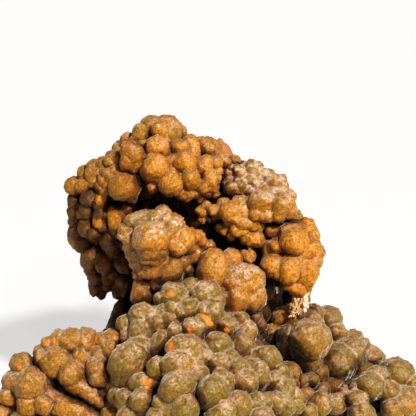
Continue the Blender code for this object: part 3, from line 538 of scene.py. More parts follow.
class MottramiteColours(PropertyGroup):
    """The mineral's colours."""
    olive: FloatVectorProperty(
        name="Olive", description="Colour of the mound", subtype="COLOR", size=3,
        default=(0.23, 0.135, 0.012),
    )
    ochre: FloatVectorProperty(
        name="Ochre", description="Colour of the crest", subtype="COLOR", size=3,
        default=(0.53, 0.205, 0.008),
    )
    # Brown is the painted shade: of the tones, of deep shelter and of the valleys.
    brown: FloatVectorProperty(
        name="Brown", description="Colour deep between the lobes", subtype="COLOR", size=3,
        default=(0.035, 0.012, 0.002),
    )
    # The pale colour of the painted sheen on the lobes' rims.
    painted_sheen: FloatVectorProperty(
        name="Painted_sheen", description="Pale frosting at the rims of the lobes", subtype="COLOR", size=3,
        default=(0.60, 0.44, 0.31),
    )
    # The film's colour, partly painted top light on the lobes' tops.
    mauve: FloatVectorProperty(
        name="Mauve", description="Thin film on the tops of the lobes", subtype="COLOR", size=3,
        default=(0.58, 0.37, 0.23),
    )
    crystal: FloatVectorProperty(
        name="Crystal", description="Pale crystals at the broken tip", subtype="COLOR", size=3,
        default=(0.88, 0.62, 0.40),
    )
    orange: FloatVectorProperty(
        name="Orange", description="Small bright flakes", subtype="COLOR", size=3,
        default=(0.95, 0.24, 0.005),
    )
    spike: FloatVectorProperty(
        name="Salmon", description="The small rear spike", subtype="COLOR", size=3,
        default=(0.50, 0.18, 0.06),
    )
    amber: FloatVectorProperty(
        name="Amber", description="The darker crystals of the tuft", subtype="COLOR", size=3,
        default=(0.72, 0.36, 0.11),
    )
    red: FloatVectorProperty(
        name="Dull red", description="Small rusty spots", subtype="COLOR", size=3,
        default=(0.34, 0.075, 0.02),
    )


class MottramiteStage(PropertyGroup):
    """Floor, camera and lights."""
    floor: FloatProperty(
        name="Floor", description="Side of the square floor", default=4.0, unit="LENGTH",
    )
    key: FloatProperty(name="Key", description="Strength of the key light, a sun lamp", default=3.8)
    glint: FloatProperty(
        name="Glint", description="Power of the small front light", default=0.12, unit="POWER",
    )
    glow: FloatProperty(name="Floor glow", description="Own light of the pale floor", default=0.56)
    ambient: FloatProperty(
        name="Ambient", description="Strength of the white surroundings", default=0.055,
    )


def seen_at(across, up, back):
    """The place, from the middle of the base, of a point laid out along the line of sight."""
    widen = 1 + back / EYE_DISTANCE
    right, high = across * widen, up * widen
    upright = Vector((0, math.sin(TILT), math.cos(TILT)))
    return SIGHT_POINT + Vector((right, 0, 0)) + upright * high + Vector(SIGHT_AHEAD) * back


class Growth:
    """The spheres of one mass: place, radius, tone and the number of the lobe each belongs to."""

    def __init__(self):
        self.places, self.radii, self.tones, self.lobes = [], [], [], []

    def add(self, place, radius, tone, lobe):
        self.places.append(np.array(place))
        self.radii.append(radius)
        self.tones.append(tone)
        self.lobes.append(lobe)

    def arrays(self):
        return tuple(np.array(part) for part in (self.places, self.radii, self.tones, self.lobes))


def stalk_beads(start, end, first, last):
    """Spheres close enough together to read as one tapering stalk."""
    low, high = seen_at(*start), seen_at(*end)
    steps = max(3, math.ceil((high - low).length / (0.5 * min(first, last) + 0.1)))
    for i in range(steps + 1):
        share = i / steps
        yield low.lerp(high, share), first + (last - first) * share


def ring_direction(i, count):
    """The i-th of count even directions on a sphere."""
    height = 1 - 2 * (i + 0.5) / count
    ring = math.sqrt(1 - height * height)
    return np.array((ring * math.cos(i * GOLDEN_ANGLE), ring * math.sin(i * GOLDEN_ANGLE), height))


def placed_lobes(masses):
    """Adds the listed lobes and stalks, each with a number of its own."""
    lobe = 0
    for name, (groups, _) in MASSES.items():
        for group in groups:
            for across, up, back, radius in SEEN_LOBES.get(group, ()):
                widen = 1 + back / EYE_DISTANCE
                masses[name].add(seen_at(across, up, back), radius * widen, TONES[group], lobe)
                lobe += 1
    owners = {group: name for name, groups in MASSES.items() for group in groups[0] + groups[1]}
    for group, start, end, first, last in STALKS:
        for place, radius in stalk_beads(start, end, first, last):
            masses[owners[group]].add(place, radius, TONES[group], lobe)
        lobe += 1
    return lobe


def add_beds(masses, cores):
    """Sinks a wider lobe behind each placed one, towards its mass's nearest core."""
    bed_places, bed_radii = [], []
    for name, mass in masses.items():
        own = [core for core in cores if core[0] == name]
        depth, width, _ = SEATS.get(name, LOOSE)
        for place, radius, tone, lobe in list(zip(mass.places, mass.radii, mass.tones, mass.lobes)):
            inward = SIGHT_AHEAD
            if own:
                depths = [np.linalg.norm(core[2] - place) - core[3] for core in own]
                centre = own[int(np.argmin(depths))][2]
                inward = (centre - place) / np.linalg.norm(centre - place)
            bed = place + inward * radius * depth
            mass.add(bed, radius * width, tone, lobe)
            bed_places.append(bed)
            bed_radii.append(radius * width)
    return np.array(bed_places), np.array(bed_radii)


def grow_over(cores, masses, crowd, beds, size, gap_share, rng, lobe):
    """Covers what is bare of the cores with lobes of the given sizes, at an even spacing."""
    small, large = size
    bed_places, bed_radii = beds
    crowd_places, crowd_radii = crowd
    places = np.concatenate([crowd_places, np.empty((len(cores) * MOST_ON_CORE, 3))])
    radii = np.concatenate([crowd_radii, np.empty(len(cores) * MOST_ON_CORE)])
    used = len(crowd_radii)
    core_places = np.array([core[2] for core in cores])
    core_radii = np.array([core[3] for core in cores])
    for name, group, centre, reach in cores:
        count = int(4 * math.pi * reach**2 / (SPREAD * (small + large) / 2) ** 2)
        for i in range(count):
            radius = float(rng.uniform(small, large))
            place = centre + ring_direction(i, count) * (reach - SUNK * radius)
            off_core = np.linalg.norm(core_places - place, axis=1) - core_radii + IN_CORE * radius
            off_bed = np.linalg.norm(bed_places - place, axis=1) - bed_radii + IN_BED * radius
            if place[2] < 0 or off_core.min() < 0 or off_bed.min() < 0:
                continue
            apart = np.linalg.norm(places[:used] - place, axis=1)
            if (apart - gap_share * (radii[:used] + radius)).min() < 0:
                continue
            warmth, shade, painted_rim_sheen, top_lit_film = TONES[group]
            masses[name].add(place, radius, (warmth, shade * HIDDEN_SHADE, painted_rim_sheen, top_lit_film), lobe)
            lobe += 1
            places[used], radii[used] = place, radius
            used += 1
    return (places[:used], radii[:used]), lobe


def grow_masses(growth):
    """Growth of every mass: placed lobes, rear lobes, fine fill between them, cores, and buds."""
    rng = np.random.default_rng(growth.seed)
    masses = {name: Growth() for name in MASSES}
    lobe = placed_lobes(masses)
    owners = {group: name for name, (_, core_groups) in MASSES.items() for group in core_groups}
    cores = [
        (owners[group], group, np.array(core[:3], float), float(core[3]))
        for group in CORES for core in CORES[group]
    ]
    crowd = (
        np.concatenate([mass.places for mass in masses.values() if mass.places]),
        np.concatenate([mass.radii for mass in masses.values() if mass.radii]),
    )
    rear = (growth.hidden_small / MM, growth.hidden_large / MM)
    crowd, lobe = grow_over(cores, masses, crowd, crowd, rear, REAR_GAP, rng, lobe)
    beds = add_beds(masses, cores)
    fill = (growth.fill_small / MM, growth.fill_large / MM)
    crowd, lobe = grow_over(cores, masses, crowd, beds, fill, FILL_GAP, rng, lobe)
    for name, mass in masses.items():
        _, _, buds = SEATS.get(name, LOOSE)
        add_buds(mass, growth.buds * buds, rng)
    for name, group, centre, reach in cores:
        masses[name].add(centre, reach, TONES[group], lobe)
        lobe += 1
    return masses


def add_buds(mass, buds, rng):
    """Low swellings on each lobe, so that no lobe is a plain ball."""
    parents = list(zip(mass.places, mass.radii, mass.tones, mass.lobes))
    for place, radius, tone, lobe in parents:
        if radius < LEAST_BUDDING:
            continue
        for _ in range(int(buds * radius)):
            out = rng.normal(size=3)
            out /= np.linalg.norm(out)
            size = radius * rng.uniform(*BUD_SIZE)
            sunk = rng.uniform(*BUD_SUNK)
            mass.add(place + out * (radius - size * sunk), size, tone, lobe)


def ball_copies(subdivisions, size, places, radii):
    """The points and faces of one icosphere, copied to every place."""
    ball = bmesh.new()
    bmesh.ops.create_icosphere(ball, subdivisions=subdivisions, radius=size)
    ball.verts.ensure_lookup_table()
    points = np.array([vert.co for vert in ball.verts])
    faces = np.array([[vert.index for vert in face.verts] for face in ball.faces])
    ball.free()
    all_points = places[:, None] + radii[:, None, None] * points[None]
    all_faces = faces[None] + (np.arange(len(places)) * len(points))[:, None, None]
    return all_points.reshape(-1, 3), all_faces.reshape(-1, 3)


def joined_spheres(name, places, radii):
    """One mesh of overlapping balls, in metres."""
    points, faces = ball_copies(2, BALL_MARGIN, places, radii)
    mesh = bpy.data.meshes.new(name)
    mesh.vertices.add(len(points))
    mesh.vertices.foreach_set("co", (points * MM).ravel())
    mesh.loops.add(faces.size)
    mesh.loops.foreach_set("vertex_index", faces.ravel())
    mesh.polygons.add(len(faces))
    mesh.polygons.foreach_set("loop_start", np.arange(0, faces.size, 3))
    mesh.update()
    piece = bpy.data.objects.new(name, mesh)
    bpy.context.scene.collection.objects.link(piece)
    return piece


def keep_outer_skin(mesh):
    """Removes the closed pockets that the skin leaves inside the mass."""
    skin = bmesh.new()
    skin.from_mesh(mesh)
    frontier = [max(skin.verts, key=lambda vert: vert.co.z)]
    outer = set(frontier)
    while frontier:
        for edge in frontier.pop().link_edges:
            for vert in edge.verts:
                if vert not in outer:
                    outer.add(vert)
                    frontier.append(vert)
    inner = [vert for vert in skin.verts if vert not in outer]
    bmesh.ops.delete(skin, geom=inner, context="VERTS")
    skin.to_mesh(mesh)
    skin.free()


def nearest_spheres(points, places, radii, count):
    """For each point, the count spheres whose skins are nearest, and the signed gaps to them."""
    order = np.zeros((len(points), count), int)
    gaps = np.full((len(points), count), FAR_GAP)
    cells = np.floor(points / CELL).astype(int)
    _, cell_of, sizes = np.unique(cells, axis=0, return_inverse=True, return_counts=True)
    by_cell = np.argsort(cell_of.ravel(), kind="stable")
    for chosen in np.split(by_cell, np.cumsum(sizes)[:-1]):
        middle = (cells[chosen[0]] + 0.5) * CELL
        near = np.flatnonzero(np.linalg.norm(places - middle, axis=1) - radii < 1.5 * CELL)
        away = np.linalg.norm(points[chosen][:, None] - places[near], axis=2) - radii[near]
        best = np.argsort(away, axis=1)[:, :count]
        order[chosen, :best.shape[1]] = near[best]
        gaps[chosen, :best.shape[1]] = np.take_along_axis(away, best, 1)
    return order, gaps


def settle(points, places, radii, lobes, order, bud_blend, blend):
    """Moves each point onto the skin, where buds run into their lobe and lobes meet in creases."""
    same = lobes[order][:, :, None] == lobes[order][:, None, :]
    first = points
    for _ in range(2):
        away = points[:, None] - places[order]
        length = np.linalg.norm(away, axis=2)
        gaps = length - radii[order]
        pull = (gaps[:, :, None] - gaps[:, None, :]) / bud_blend
        pull = np.exp(np.clip(pull, -STEEPEST_PULL, STEEPEST_PULL))
        swell = bud_blend * np.log((same * pull).sum(2))
        height_of_lobe = gaps - swell
        least = height_of_lobe.min(1)
        share = np.exp(-swell / bud_blend) * np.exp(-(height_of_lobe - least[:, None]) / blend)
        total = share.sum(1)
        height = least - blend * np.log(total)
        slope = ((share / total[:, None])[..., None] * away / length[..., None]).sum(1)
        steep = np.maximum((slope**2).sum(1), LEAST_STEEPNESS)
        move = np.clip(height / steep, -FARTHEST_MOVE, FARTHEST_MOVE)
        points = points - slope * move[:, None]
    travel = np.linalg.norm(points - first, axis=1)
    kept = np.minimum(1, FARTHEST_MOVE / np.maximum(travel, 1e-9))
    return first + (points - first) * kept[:, None]


def ripple(points, rng):
    """A gentle unevenness, from a few crossed waves a few millimetres long."""
    moved = np.zeros_like(points)
    for length, height in RIPPLES:
        for _ in range(CROSSED_WAVES):
            heading = rng.normal(size=3)
            heading *= 2 * math.pi / length / np.linalg.norm(heading)
            swing = rng.normal(size=3)
            swing *= height / np.linalg.norm(swing)
            moved += np.sin(points @ heading + rng.uniform(*PHASES))[:, None] * swing
    return points + moved


def spot_places(spots):
    """Where the listed spots lie: each on the lobe that is nearest to the viewer there."""
    lobes = [lobe for group in SEEN_LOBES.values() for lobe in group]
    found = []
    for across, up, radius in spots:
        fronts = []
        for x, y, back, reach in lobes:
            rise = reach**2 - (across - x) ** 2 - (up - y) ** 2
            if rise > 0:
                fronts.append(back - math.sqrt(rise))
        if fronts:
            found.append((np.array(seen_at(across, up, min(fronts))), radius))
    return found


def shelter_tree(masses):
    """A coarse copy of every lobe, which tells how sheltered a point is."""
    places = np.concatenate([np.array(mass.places) for mass in masses.values()])
    radii = np.concatenate([np.array(mass.radii) for mass in masses.values()])
    large = radii > SHELTER_LEAST
    points, faces = ball_copies(1, 1, places[large], radii[large])
    return BVHTree.FromPolygons(points.tolist(), faces.tolist())


def sheltered(points, outward, tree):
    """The share of the sky above each point that nearby lobes hide, from 0 open to 1 closed."""
    cells = np.round(points / SHELTER_CELL).astype(int)
    _, first, cell_of = np.unique(cells, axis=0, return_index=True, return_inverse=True)
    rays = [Vector(ring_direction(i, SHELTER_RAYS)) * SHELTER_SPREAD for i in range(SHELTER_RAYS)]
    hidden = np.empty(len(first))
    for i, vertex in enumerate(first):
        normal = Vector(outward[vertex])
        start = Vector(points[vertex]) + normal * SHELTER_START
        met = sum(tree.ray_cast(start, normal + ray, SHELTER_REACH)[0] is not None for ray in rays)
        hidden[i] = met / SHELTER_RAYS
    return hidden[cell_of.ravel()]


def smoothed(mesh, values, times):
    """Averages a value over each vertex's neighbours."""
    ends = np.empty(2 * len(mesh.edges), int)
    mesh.edges.foreach_get("vertices", ends)
    first, second = ends[::2], ends[1::2]
    links = np.bincount(ends, minlength=len(values)) + 1
    for _ in range(times):
        total = values.copy()
        total += np.bincount(first, values[second], len(values))
        total += np.bincount(second, values[first], len(values))
        values = total / links
    return values


def set_attribute(mesh, name, values):
    layer = mesh.attributes.new(name, "FLOAT", "POINT")
    layer.data.foreach_set("value", values.astype(np.float32))


def folded(points, places, first, second):
    """How steeply two neighbouring lobes meet: 0 where they are flush, 1 in a sharp valley."""
    one = points - places[first]
    other = points - places[second]
    lengths = np.linalg.norm(one, axis=1) * np.linalg.norm(other, axis=1)
    return np.clip((VALLEY_COSINE - (one * other).sum(1) / lengths) / VALLEY_COSINE, 0, 1)


def spotted(points, spots):
    """How far inside the nearest spot each point lies, up to 1 at its middle."""
    inside = np.full(len(points), SPOT_LEAST)
    for place, radius in spots:
        apart = np.linalg.norm(points - place, axis=1)
        strength = np.clip(SPOT_MIDDLE - SPOT_LOSS * apart / radius, SPOT_LEAST, 1)
        inside = np.maximum(inside, strength)
    return inside


def grow_skin(context, name, masses, flakes, rust, tree):
    """One mass as a closed mesh with the attributes that its finish reads."""
    growth = context.scene.mottramite_growth
    places, radii, tones, lobes = masses[name].arrays()
    piece = joined_spheres(name, places, radii)
    mesh = piece.data
    context.view_layer.objects.active = piece
    mesh.remesh_voxel_size = growth.grain * COARSER.get(name, 1)
    bpy.ops.object.voxel_remesh()
    keep_outer_skin(mesh)
    points = np.empty(len(mesh.vertices) * 3)
    mesh.vertices.foreach_get("co", points)
    points = points.reshape(-1, 3) / MM
    order, _ = nearest_spheres(points, places, radii, NEAREST)
    points = settle(points, places, radii, lobes, order, growth.bud_blend / MM, growth.blend / MM)
    order, gaps = nearest_spheres(points, places, radii, NEAREST)
    other_lobe = lobes[order] != lobes[order[:, :1]]
    foreign = np.where(other_lobe, gaps, FAR_GAP)
    neighbour = np.take_along_axis(order, foreign.argmin(1)[:, None], 1)[:, 0]
    next_gap = foreign.min(1) - gaps[:, 0]
    nearest = order[:, 0]
    valley = np.clip(1 - next_gap / VALLEY_WIDTH, 0, 1)
    valley = valley * folded(points, places, nearest, neighbour)
    tone = tones[nearest]
    chance = np.random.default_rng(growth.seed).uniform(size=lobes.max() + 1)
    points = ripple(points, np.random.default_rng(growth.seed))
    points[:, 2] = np.maximum(points[:, 2], 0)
    mesh.vertices.foreach_set("co", (points * MM).ravel())
    mesh.update()
    outward = np.empty(len(points) * 3)
    mesh.vertices.foreach_get("normal", outward)
    outward = outward.reshape(-1, 3)
    layers = {
        "warmth": tone[:, 0], "shade": tone[:, 1], "painted_rim_sheen": tone[:, 2], "top_lit_film": tone[:, 3],
        "crease": np.clip(1 - next_gap / (growth.rim / MM), 0, 1), "valley": valley,
        "tint": chance[lobes[nearest]], "upward": outward[:, 2],
        "shelter": smoothed(mesh, sheltered(points, outward, tree), SHELTER_SMOOTHING),
        "flake": spotted(points, flakes), "rust": spotted(points, rust),
    }
    for layer, values in layers.items():
        set_attribute(mesh, layer, values)
    mesh.shade_smooth()
    return piece


def add_node(tree, kind, **values):
    node = tree.nodes.new(kind)
    for key, value in values.items():
        setattr(node, key, value)
    return node


def mixed(tree, factor, first, second, blend_type="MIX"):
    """A colour mix; each argument is a socket or a value."""
    mix = add_node(tree, "ShaderNodeMix", data_type="RGBA", blend_type=blend_type)
    for socket, given in ((mix.inputs[0], factor), (mix.inputs[6], first), (mix.inputs[7], second)):
        if isinstance(given, bpy.types.NodeSocket):
            tree.links.new(given, socket)
        else:
            socket.default_value = given
    return mix.outputs[2]


def computed(tree, operation, *given, clamp=False):
    """A math node's output; each argument is a socket or a number."""
    node = add_node(tree, "ShaderNodeMath", operation=operation, use_clamp=clamp)
    for socket, value in zip(node.inputs, given):
        if isinstance(value, bpy.types.NodeSocket):
            tree.links.new(value, socket)
        else:
            socket.default_value = value
    return node.outputs[0]


def chained(tree, operation, first, *others):
    """Values joined one after another by the same math."""
    for value in others:
        first = computed(tree, operation, first, value)
    return first


def rest_of(tree, value):
    """What is left of 1 when the value is taken away."""
    return computed(tree, "SUBTRACT", 1.0, value)


def swung(tree, value, swing):
    """A value from 0 to 1 turned to one as far below 0 as above it."""
    return computed(tree, "MULTIPLY_ADD", value, swing, -swing / 2)


def mapped(tree, value, low, high, to_low=0.0, to_high=1.0):
    node = add_node(tree, "ShaderNodeMapRange")
    tree.links.new(value, node.inputs["Value"])
    node.inputs["From Min"].default_value = low
    node.inputs["From Max"].default_value = high
    node.inputs["To Min"].default_value = to_low
    node.inputs["To Max"].default_value = to_high
    return node.outputs["Result"]


def noise(tree, where, scale, detail=2.0):
    """Noise from 0 to 1, with scale in cycles for each millimetre."""
    node = add_node(tree, "ShaderNodeTexNoise")
    node.inputs["Scale"].default_value = scale / MM
    node.inputs["Detail"].default_value = detail
    tree.links.new(where, node.inputs["Vector"])
    return node.outputs["Fac"]


def mineral_group():
    """The finish from the skin's attributes: colour with painted shade and sheen, roughness,
    relief.
    """
    group = bpy.data.node_groups.new("botryoidal_finish", "ShaderNodeTree")
    sockets = group.interface
    for name in PALETTE:
        sockets.new_socket(name.capitalize(), in_out="INPUT", socket_type="NodeSocketColor")
    for name in LAYERS:
        sockets.new_socket(name, in_out="INPUT", socket_type="NodeSocketFloat")
    sockets.new_socket("Color", in_out="OUTPUT", socket_type="NodeSocketColor")
    for name in ("Roughness", "Height"):
        sockets.new_socket(name, in_out="OUTPUT", socket_type="NodeSocketFloat")
    given = group.nodes.new("NodeGroupInput").outputs
    result = group.nodes.new("NodeGroupOutput").inputs
    where = group.nodes.new("ShaderNodeTexCoord").outputs["Object"]
    noises = {name: noise(group, where, *scales) for name, scales in NOISES.items()}
    patchy, grains, speckle = noises["patchy"], noises["grains"], noises["speckle"]

    warmth = chained(
        group, "ADD", given["Warmth"], swung(group, noises["broad"], 1.1),
        swung(group, given["Tint"], 0.34),
    )
    warmth = computed(group, "ADD", warmth, swung(group, patchy, 0.7), clamp=True)
    colour = mixed(group, warmth, given["Olive"], given["Ochre"])

    shade = computed(group, "MAXIMUM", given["Shade"], 0.0)
    # A pale film on the upward faces, partly painted top light.
    top_lit_film = chained(
        group, "MULTIPLY", mapped(group, given["Upward"], 0.1, 0.8),
        mapped(group, patchy, 0.36, 0.62), mapped(group, given["Tint"], 0.1, 0.8, 0.6, 1.3),
        given["Top_lit_film"], mapped(group, grains, 0.35, 0.6, 0.6, 1.1), rest_of(group, shade),
    )
    colour = mixed(group, top_lit_film, colour, given["Mauve"])
    mottle = computed(
        group, "MULTIPLY", mapped(group, grains, 0.34, 0.64, 0.72, 1.22),
        mapped(group, speckle, 0.32, 0.68, 0.62, 1.3),
    )
    colour = mixed(group, 1.0, colour, mottle, "MULTIPLY")
    # Painted shade: each tone's shade turns the colour towards brown.
    colour = mixed(group, shade, colour, given["Brown"])

    # Painted shade: dimmer where a little sheltered, brown deep in shelter and in the valleys.
    sparing = computed(group, "ADD", 1.0, computed(group, "MINIMUM", given["Shade"], 0.0))
    shelter = computed(group, "MULTIPLY", given["Shelter"], sparing)
    painted_shelter_shade = mixed(group, 1.0, colour, (0.62, 0.42, 0.26, 1), "MULTIPLY")
    colour = mixed(group, mapped(group, shelter, 0.06, 0.38), colour, painted_shelter_shade)
    valley = mapped(group, given["Valley"], 0.1, 0.7, 0.0, 0.75)
    painted_deep_shade = mapped(group, shelter, 0.28, 0.62, 0.0, 0.96)
    colour = mixed(group, computed(group, "MAXIMUM", painted_deep_shade, valley), colour, given["Brown"])

    # Painted sheen: pale rims along the creases, stronger on the upward faces.
    painted_rim_sheen = chained(
        group, "MULTIPLY", mapped(group, given["Crease"], 0.4, 0.8),
        mapped(group, given["Upward"], 0.15, 0.6), mapped(group, speckle, 0.35, 0.6, 0.5, 1.15),
        rest_of(group, shade), rest_of(group, painted_deep_shade), given["Painted_rim_sheen"],
    )
    colour = mixed(group, painted_rim_sheen, colour, given["Painted_sheen"])
    torn = swung(group, noises["torn"], 1.8)
    for spot, tint in (("Flake", "Orange"), ("Rust", "Red")):
        ragged = computed(group, "ADD", given[spot], torn)
        colour = mixed(group, mapped(group, ragged, 0.25, 0.75), colour, given[tint])
    group.links.new(colour, result["Color"])

    rough = mapped(group, patchy, 0.35, 0.65, 0.42, 0.58)
    rough = computed(group, "ADD", rough, computed(group, "MULTIPLY", painted_rim_sheen, 0.3))
    group.links.new(rough, result["Roughness"])
    relief = chained(
        group, "ADD", computed(group, "MULTIPLY", speckle, 0.7),
        computed(group, "MULTIPLY", noises["fine"], 0.4), computed(group, "MULTIPLY", grains, 0.9),
    )
    group.links.new(relief, result["Height"])
    return group


def mineral_material(context, name, sheen, coat):
    """One mass's material: the shared finish with its own sheen and coat."""
    colours = context.scene.mottramite_colours
    material = bpy.data.materials.new(name)
    material.use_nodes = True
    tree = material.node_tree
    shader = tree.nodes["Principled BSDF"]
    finish = add_node(tree, "ShaderNodeGroup", node_tree=bpy.data.node_groups["botryoidal_finish"])
    for colour in PALETTE:
        finish.inputs[colour.capitalize()].default_value = (*getattr(colours, colour), 1)
    for layer in LAYERS:
        reader = add_node(tree, "ShaderNodeAttribute", attribute_name=layer.lower())
        tree.links.new(reader.outputs["Fac"], finish.inputs[layer])
    tree.links.new(finish.outputs["Color"], shader.inputs["Base Color"])
    tree.links.new(finish.outputs["Roughness"], shader.inputs["Roughness"])
    bump = add_node(tree, "ShaderNodeBump")
    bump.inputs["Strength"].default_value = RELIEF_STRENGTH
    bump.inputs["Distance"].default_value = RELIEF_DEPTH * MM
    tree.links.new(finish.outputs["Height"], bump.inputs["Height"])
    tree.links.new(bump.outputs["Normal"], shader.inputs["Normal"])
    for socket, value in {**SURFACE, "Sheen Weight": sheen, "Coat Weight": coat}.items():
        shader.inputs[socket].default_value = value
    return material


def plain_material(name, colour, roughness):
    material = bpy.data.materials.new(name)
    material.use_nodes = True
    shader = material.node_tree.nodes["Principled BSDF"]
    shader.inputs["Base Color"].default_value = (*colour, 1)
    shader.inputs["Roughness"].default_value = roughness
    return material


def ride_specimen(piece):
    """Ties a piece to the specimen's solid."""
    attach(piece, "root")
    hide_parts(NODE)


def finish_piece(context, piece, sheen, coat):
    piece.data.materials.clear()
    piece.data.materials.append(mineral_material(context, piece.name, sheen, coat))
    ride_specimen(piece)


# What all the masses share, worked out when the first is grown.
GROWN = {}


def grow_piece(context, name, sheen=0.45, coat=0.04):
    """Grows, finishes and places one mass."""
    if not GROWN:
        mineral_group()
        masses = grow_masses(context.scene.mottramite_growth)
        GROWN.update(masses=masses, flakes=spot_places(ORANGE_FLAKES), rust=spot_places(RUST_SPOTS))
        GROWN.update(tree=shelter_tree(masses))
    piece = grow_skin(context, name, **GROWN)
    finish_piece(context, piece, sheen, coat)
    return {"FINISHED"}


class MOTTRAMITE_OT_crest(Operator):
    """Grow the curled crest with its peak"""
    bl_idname = "mottramite.crest"
    bl_label = "Crest"

    def execute(self, context):
        return grow_piece(context, "crest")


class MOTTRAMITE_OT_hanging_lobe(Operator):
    """Grow the dark lobe that hangs from the crest"""
    bl_idname = "mottramite.hanging_lobe"
    bl_label = "Hanging lobe"

    def execute(self, context):
        return grow_piece(context, "hanging_lobe", sheen=0.1)


class MOTTRAMITE_OT_front_head(Operator):
    """Grow the waxy head on its stalk before the cavity"""
    bl_idname = "mottramite.front_head"
    bl_label = "Front head"

    def execute(self, context):
        return grow_piece(context, "front_head", sheen=0.5, coat=0.3)


class MOTTRAMITE_OT_right_shoulder(Operator):
    """Grow the right face with its two heavy lobes"""
    bl_idname = "mottramite.right_shoulder"
    bl_label = "Right shoulder"

    def execute(self, context):
        return grow_piece(context, "right_shoulder")


def grow_tuft(context):
    """A drooping tuft of small pale crystals, packed along a bent line."""
    rng = np.random.default_rng(context.scene.mottramite_growth.seed)
    crystal = bmesh.new()
    bmesh.ops.create_cone(crystal, cap_ends=True, segments=5, radius1=0.5, radius2=0.3, depth=1)
    crystal.verts.ensure_lookup_table()
    points = np.array([vert.co for vert in crystal.verts])
    faces = [[vert.index for vert in face.verts] for face in crystal.faces]
    crystal.free()
    all_points, all_faces, colours = [], [], []
    for low, high, scatter, count, (width, length), colour in TUFT_PARTS:
        start, end = np.array(seen_at(*low)), np.array(seen_at(*high))
        for i in range(count):
            place = start + (end - start) * (i / count) + rng.normal(size=3) * scatter
            thin = width * rng.uniform(*CRYSTAL_VARIETY)
            long = length * rng.uniform(*CRYSTAL_VARIETY)
            lean = Vector(end - start).normalized() + Vector(rng.normal(size=3)) * CRYSTAL_LEAN
            turn = np.array(lean.to_track_quat("Z", "X").to_matrix())
            all_faces += [[corner + len(all_points) for corner in face] for face in faces]
            all_points += (place + (points * (thin, thin, long)) @ turn.T).tolist()
            colours += [int(colour == "gold")] * len(faces)
    mesh = bpy.data.meshes.new("crystal_tuft")
    mesh.from_pydata([Vector(point) * MM for point in all_points], [], all_faces)
    mesh.polygons.foreach_set("material_index", colours)
    piece = bpy.data.objects.new("crystal_tuft", mesh)
    context.scene.collection.objects.link(piece)
    return piece


class MOTTRAMITE_OT_crystal_tuft(Operator):
    """Grow the pale crystals at the broken tip below the right lobe"""
    bl_idname = "mottramite.crystal_tuft"
    bl_label = "Crystal tuft"

    def execute(self, context):
        colours = context.scene.mottramite_colours
        piece = grow_tuft(context)
        for tint in ("crystal", "amber"):
            material = plain_material(tint, getattr(colours, tint), 0.25)
            shader = material.node_tree.nodes["Principled BSDF"]
            shader.inputs["Subsurface Weight"].default_value = 0.3
            shader.inputs["Subsurface Radius"].default_value = (0.4 * MM, 0.2 * MM, 0.08 * MM)
            piece.data.materials.append(material)
        ride_specimen(piece)
        return {"FINISHED"}


class MOTTRAMITE_OT_mound(Operator):
    """Grow the olive mound in front"""
    bl_idname = "mottramite.mound"
    bl_label = "Mound"

    def execute(self, context):
        return grow_piece(context, "mound", sheen=0.8, coat=0.03)


class MOTTRAMITE_OT_left_fingers(Operator):
    """Grow the finger-like stalks at the left"""
    bl_idname = "mottramite.left_fingers"
    bl_label = "Left fingers"

    def execute(self, context):
        return grow_piece(context, "left_fingers", sheen=0.6)


class MOTTRAMITE_OT_right_rear(Operator):
    """Grow the clusters at the right foot"""
    bl_idname = "mottramite.right_rear"
    bl_label = "Right foot"

    def execute(self, context):
        return grow_piece(context, "right_rear", sheen=0.8, coat=0.0)


class MOTTRAMITE_OT_column(Operator):
    """Grow the column behind, the base and the small rear spike"""
    bl_idname = "mottramite.column"
    bl_label = "Column and base"

    def execute(self, context):
        for name in ("column", "base"):
            grow_piece(context, name, coat=0.0)
        spike = grow_skin(context, "rear_spike", **GROWN)
        colours = context.scene.mottramite_colours
        spike.data.materials.clear()
        spike.data.materials.append(plain_material("spike", colours.spike, 0.6))
        ride_specimen(spike)
        return {"FINISHED"}


def add_camera():
    """A long lens at the best side, looking down a little."""
    data = bpy.data.cameras.new("camera")
    data.sensor_width = 36
    data.lens = data.sensor_width * EYE_DISTANCE / SIGHT_WIDTH
    data.clip_start = 0.01
    camera = bpy.data.objects.new("camera", data)
    camera.location = (SIGHT_POINT - Vector(SIGHT_AHEAD) * EYE_DISTANCE) * MM
    camera.rotation_euler = (math.pi / 2 - TILT, 0, 0)
    bpy.context.scene.collection.objects.link(camera)
    bpy.context.scene.camera = camera


def add_light(name, kind, place, aim, **values):
    data = bpy.data.lights.new(name, kind)
    for key, value in values.items():
        setattr(data, key, value)
    light = bpy.data.objects.new(name, data)
    light.location = Vector(place) * MM
    light.rotation_euler = (Vector(aim) - Vector(place)).to_track_quat("-Z", "Y").to_euler()
    bpy.context.scene.collection.objects.link(light)


def set_world(ambient):
    """White surroundings that light the specimen less than they show."""
    world = bpy.data.worlds.new("surroundings")
    world.use_nodes = True
    tree = world.node_tree
    background = tree.nodes["Background"]
    background.inputs["Color"].default_value = (1, 1, 1, 1)
    path = tree.nodes.new("ShaderNodeLightPath")
    strength = mapped(tree, path.outputs["Is Camera Ray"], 0, 1, ambient, 1.0)
    tree.links.new(strength, background.inputs["Strength"])
    bpy.context.scene.world = world


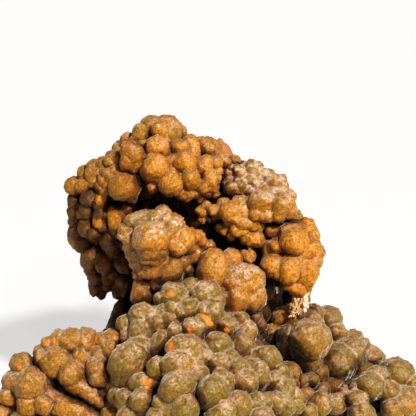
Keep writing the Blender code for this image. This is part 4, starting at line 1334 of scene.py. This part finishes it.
class MOTTRAMITE_OT_stage(Operator):
    """Lay the pale floor and set the lights and the camera"""
    bl_idname = "mottramite.stage"
    bl_label = "Stage"

    def execute(self, context):
        stage = context.scene.mottramite_stage
        bm = bmesh.new()
        bmesh.ops.create_grid(bm, x_segments=1, y_segments=1, size=stage.floor / 2)
        mesh = bpy.data.meshes.new("floor")
        bm.to_mesh(mesh)
        bm.free()
        floor = bpy.data.objects.new("floor", mesh)
        context.scene.collection.objects.link(floor)
        material = plain_material("pale_floor", (0.3, 0.3, 0.3), 0.9)
        shader = material.node_tree.nodes["Principled BSDF"]
        shader.inputs["Emission Color"].default_value = (1.0, 0.985, 0.975, 1)
        shader.inputs["Emission Strength"].default_value = stage.glow
        mesh.materials.append(material)
        aim = (0, 0, 25)
        add_light("key", "SUN", (170, -260, 310), aim, energy=stage.key, angle=math.radians(6))
        add_light("glint", "AREA", (60, -250, 190), aim, energy=stage.glint, size=0.018)
        set_world(stage.ambient)
        add_camera()
        context.scene.view_settings.view_transform = "Standard"
        context.scene.view_settings.look = "Medium High Contrast"
        return {"FINISHED"}


OPERATORS = (
    MOTTRAMITE_OT_crest, MOTTRAMITE_OT_hanging_lobe, MOTTRAMITE_OT_front_head,
    MOTTRAMITE_OT_right_shoulder, MOTTRAMITE_OT_crystal_tuft, MOTTRAMITE_OT_mound,
    MOTTRAMITE_OT_left_fingers, MOTTRAMITE_OT_right_rear, MOTTRAMITE_OT_column,
    MOTTRAMITE_OT_stage,
)


class MOTTRAMITE_PT_panel(Panel):
    """Lists the steps that build the specimen"""
    bl_label = "Mottramite specimen"
    bl_idname = "MOTTRAMITE_PT_panel"
    bl_space_type = "VIEW_3D"
    bl_region_type = "UI"
    bl_category = "Specimen"

    def draw(self, context):
        for operator in OPERATORS:
            self.layout.operator(operator.bl_idname)


SETTINGS = (
    ("mottramite_growth", MottramiteGrowth),
    ("mottramite_colours", MottramiteColours),
    ("mottramite_stage", MottramiteStage),
)


def register():
    for name, settings in SETTINGS:
        bpy.utils.register_class(settings)
        setattr(bpy.types.Scene, name, PointerProperty(type=settings))
    for operator in OPERATORS:
        bpy.utils.register_class(operator)
    bpy.utils.register_class(MOTTRAMITE_PT_panel)


def unregister():
    bpy.utils.unregister_class(MOTTRAMITE_PT_panel)
    for operator in reversed(OPERATORS):
        bpy.utils.unregister_class(operator)
    for name, settings in reversed(SETTINGS):
        delattr(bpy.types.Scene, name)
        bpy.utils.unregister_class(settings)


def main():
    register()
    for operator in OPERATORS:
        kind, step = operator.bl_idname.split(".")
        getattr(getattr(bpy.ops, kind), step)()


if __name__ == "__main__":
    main()
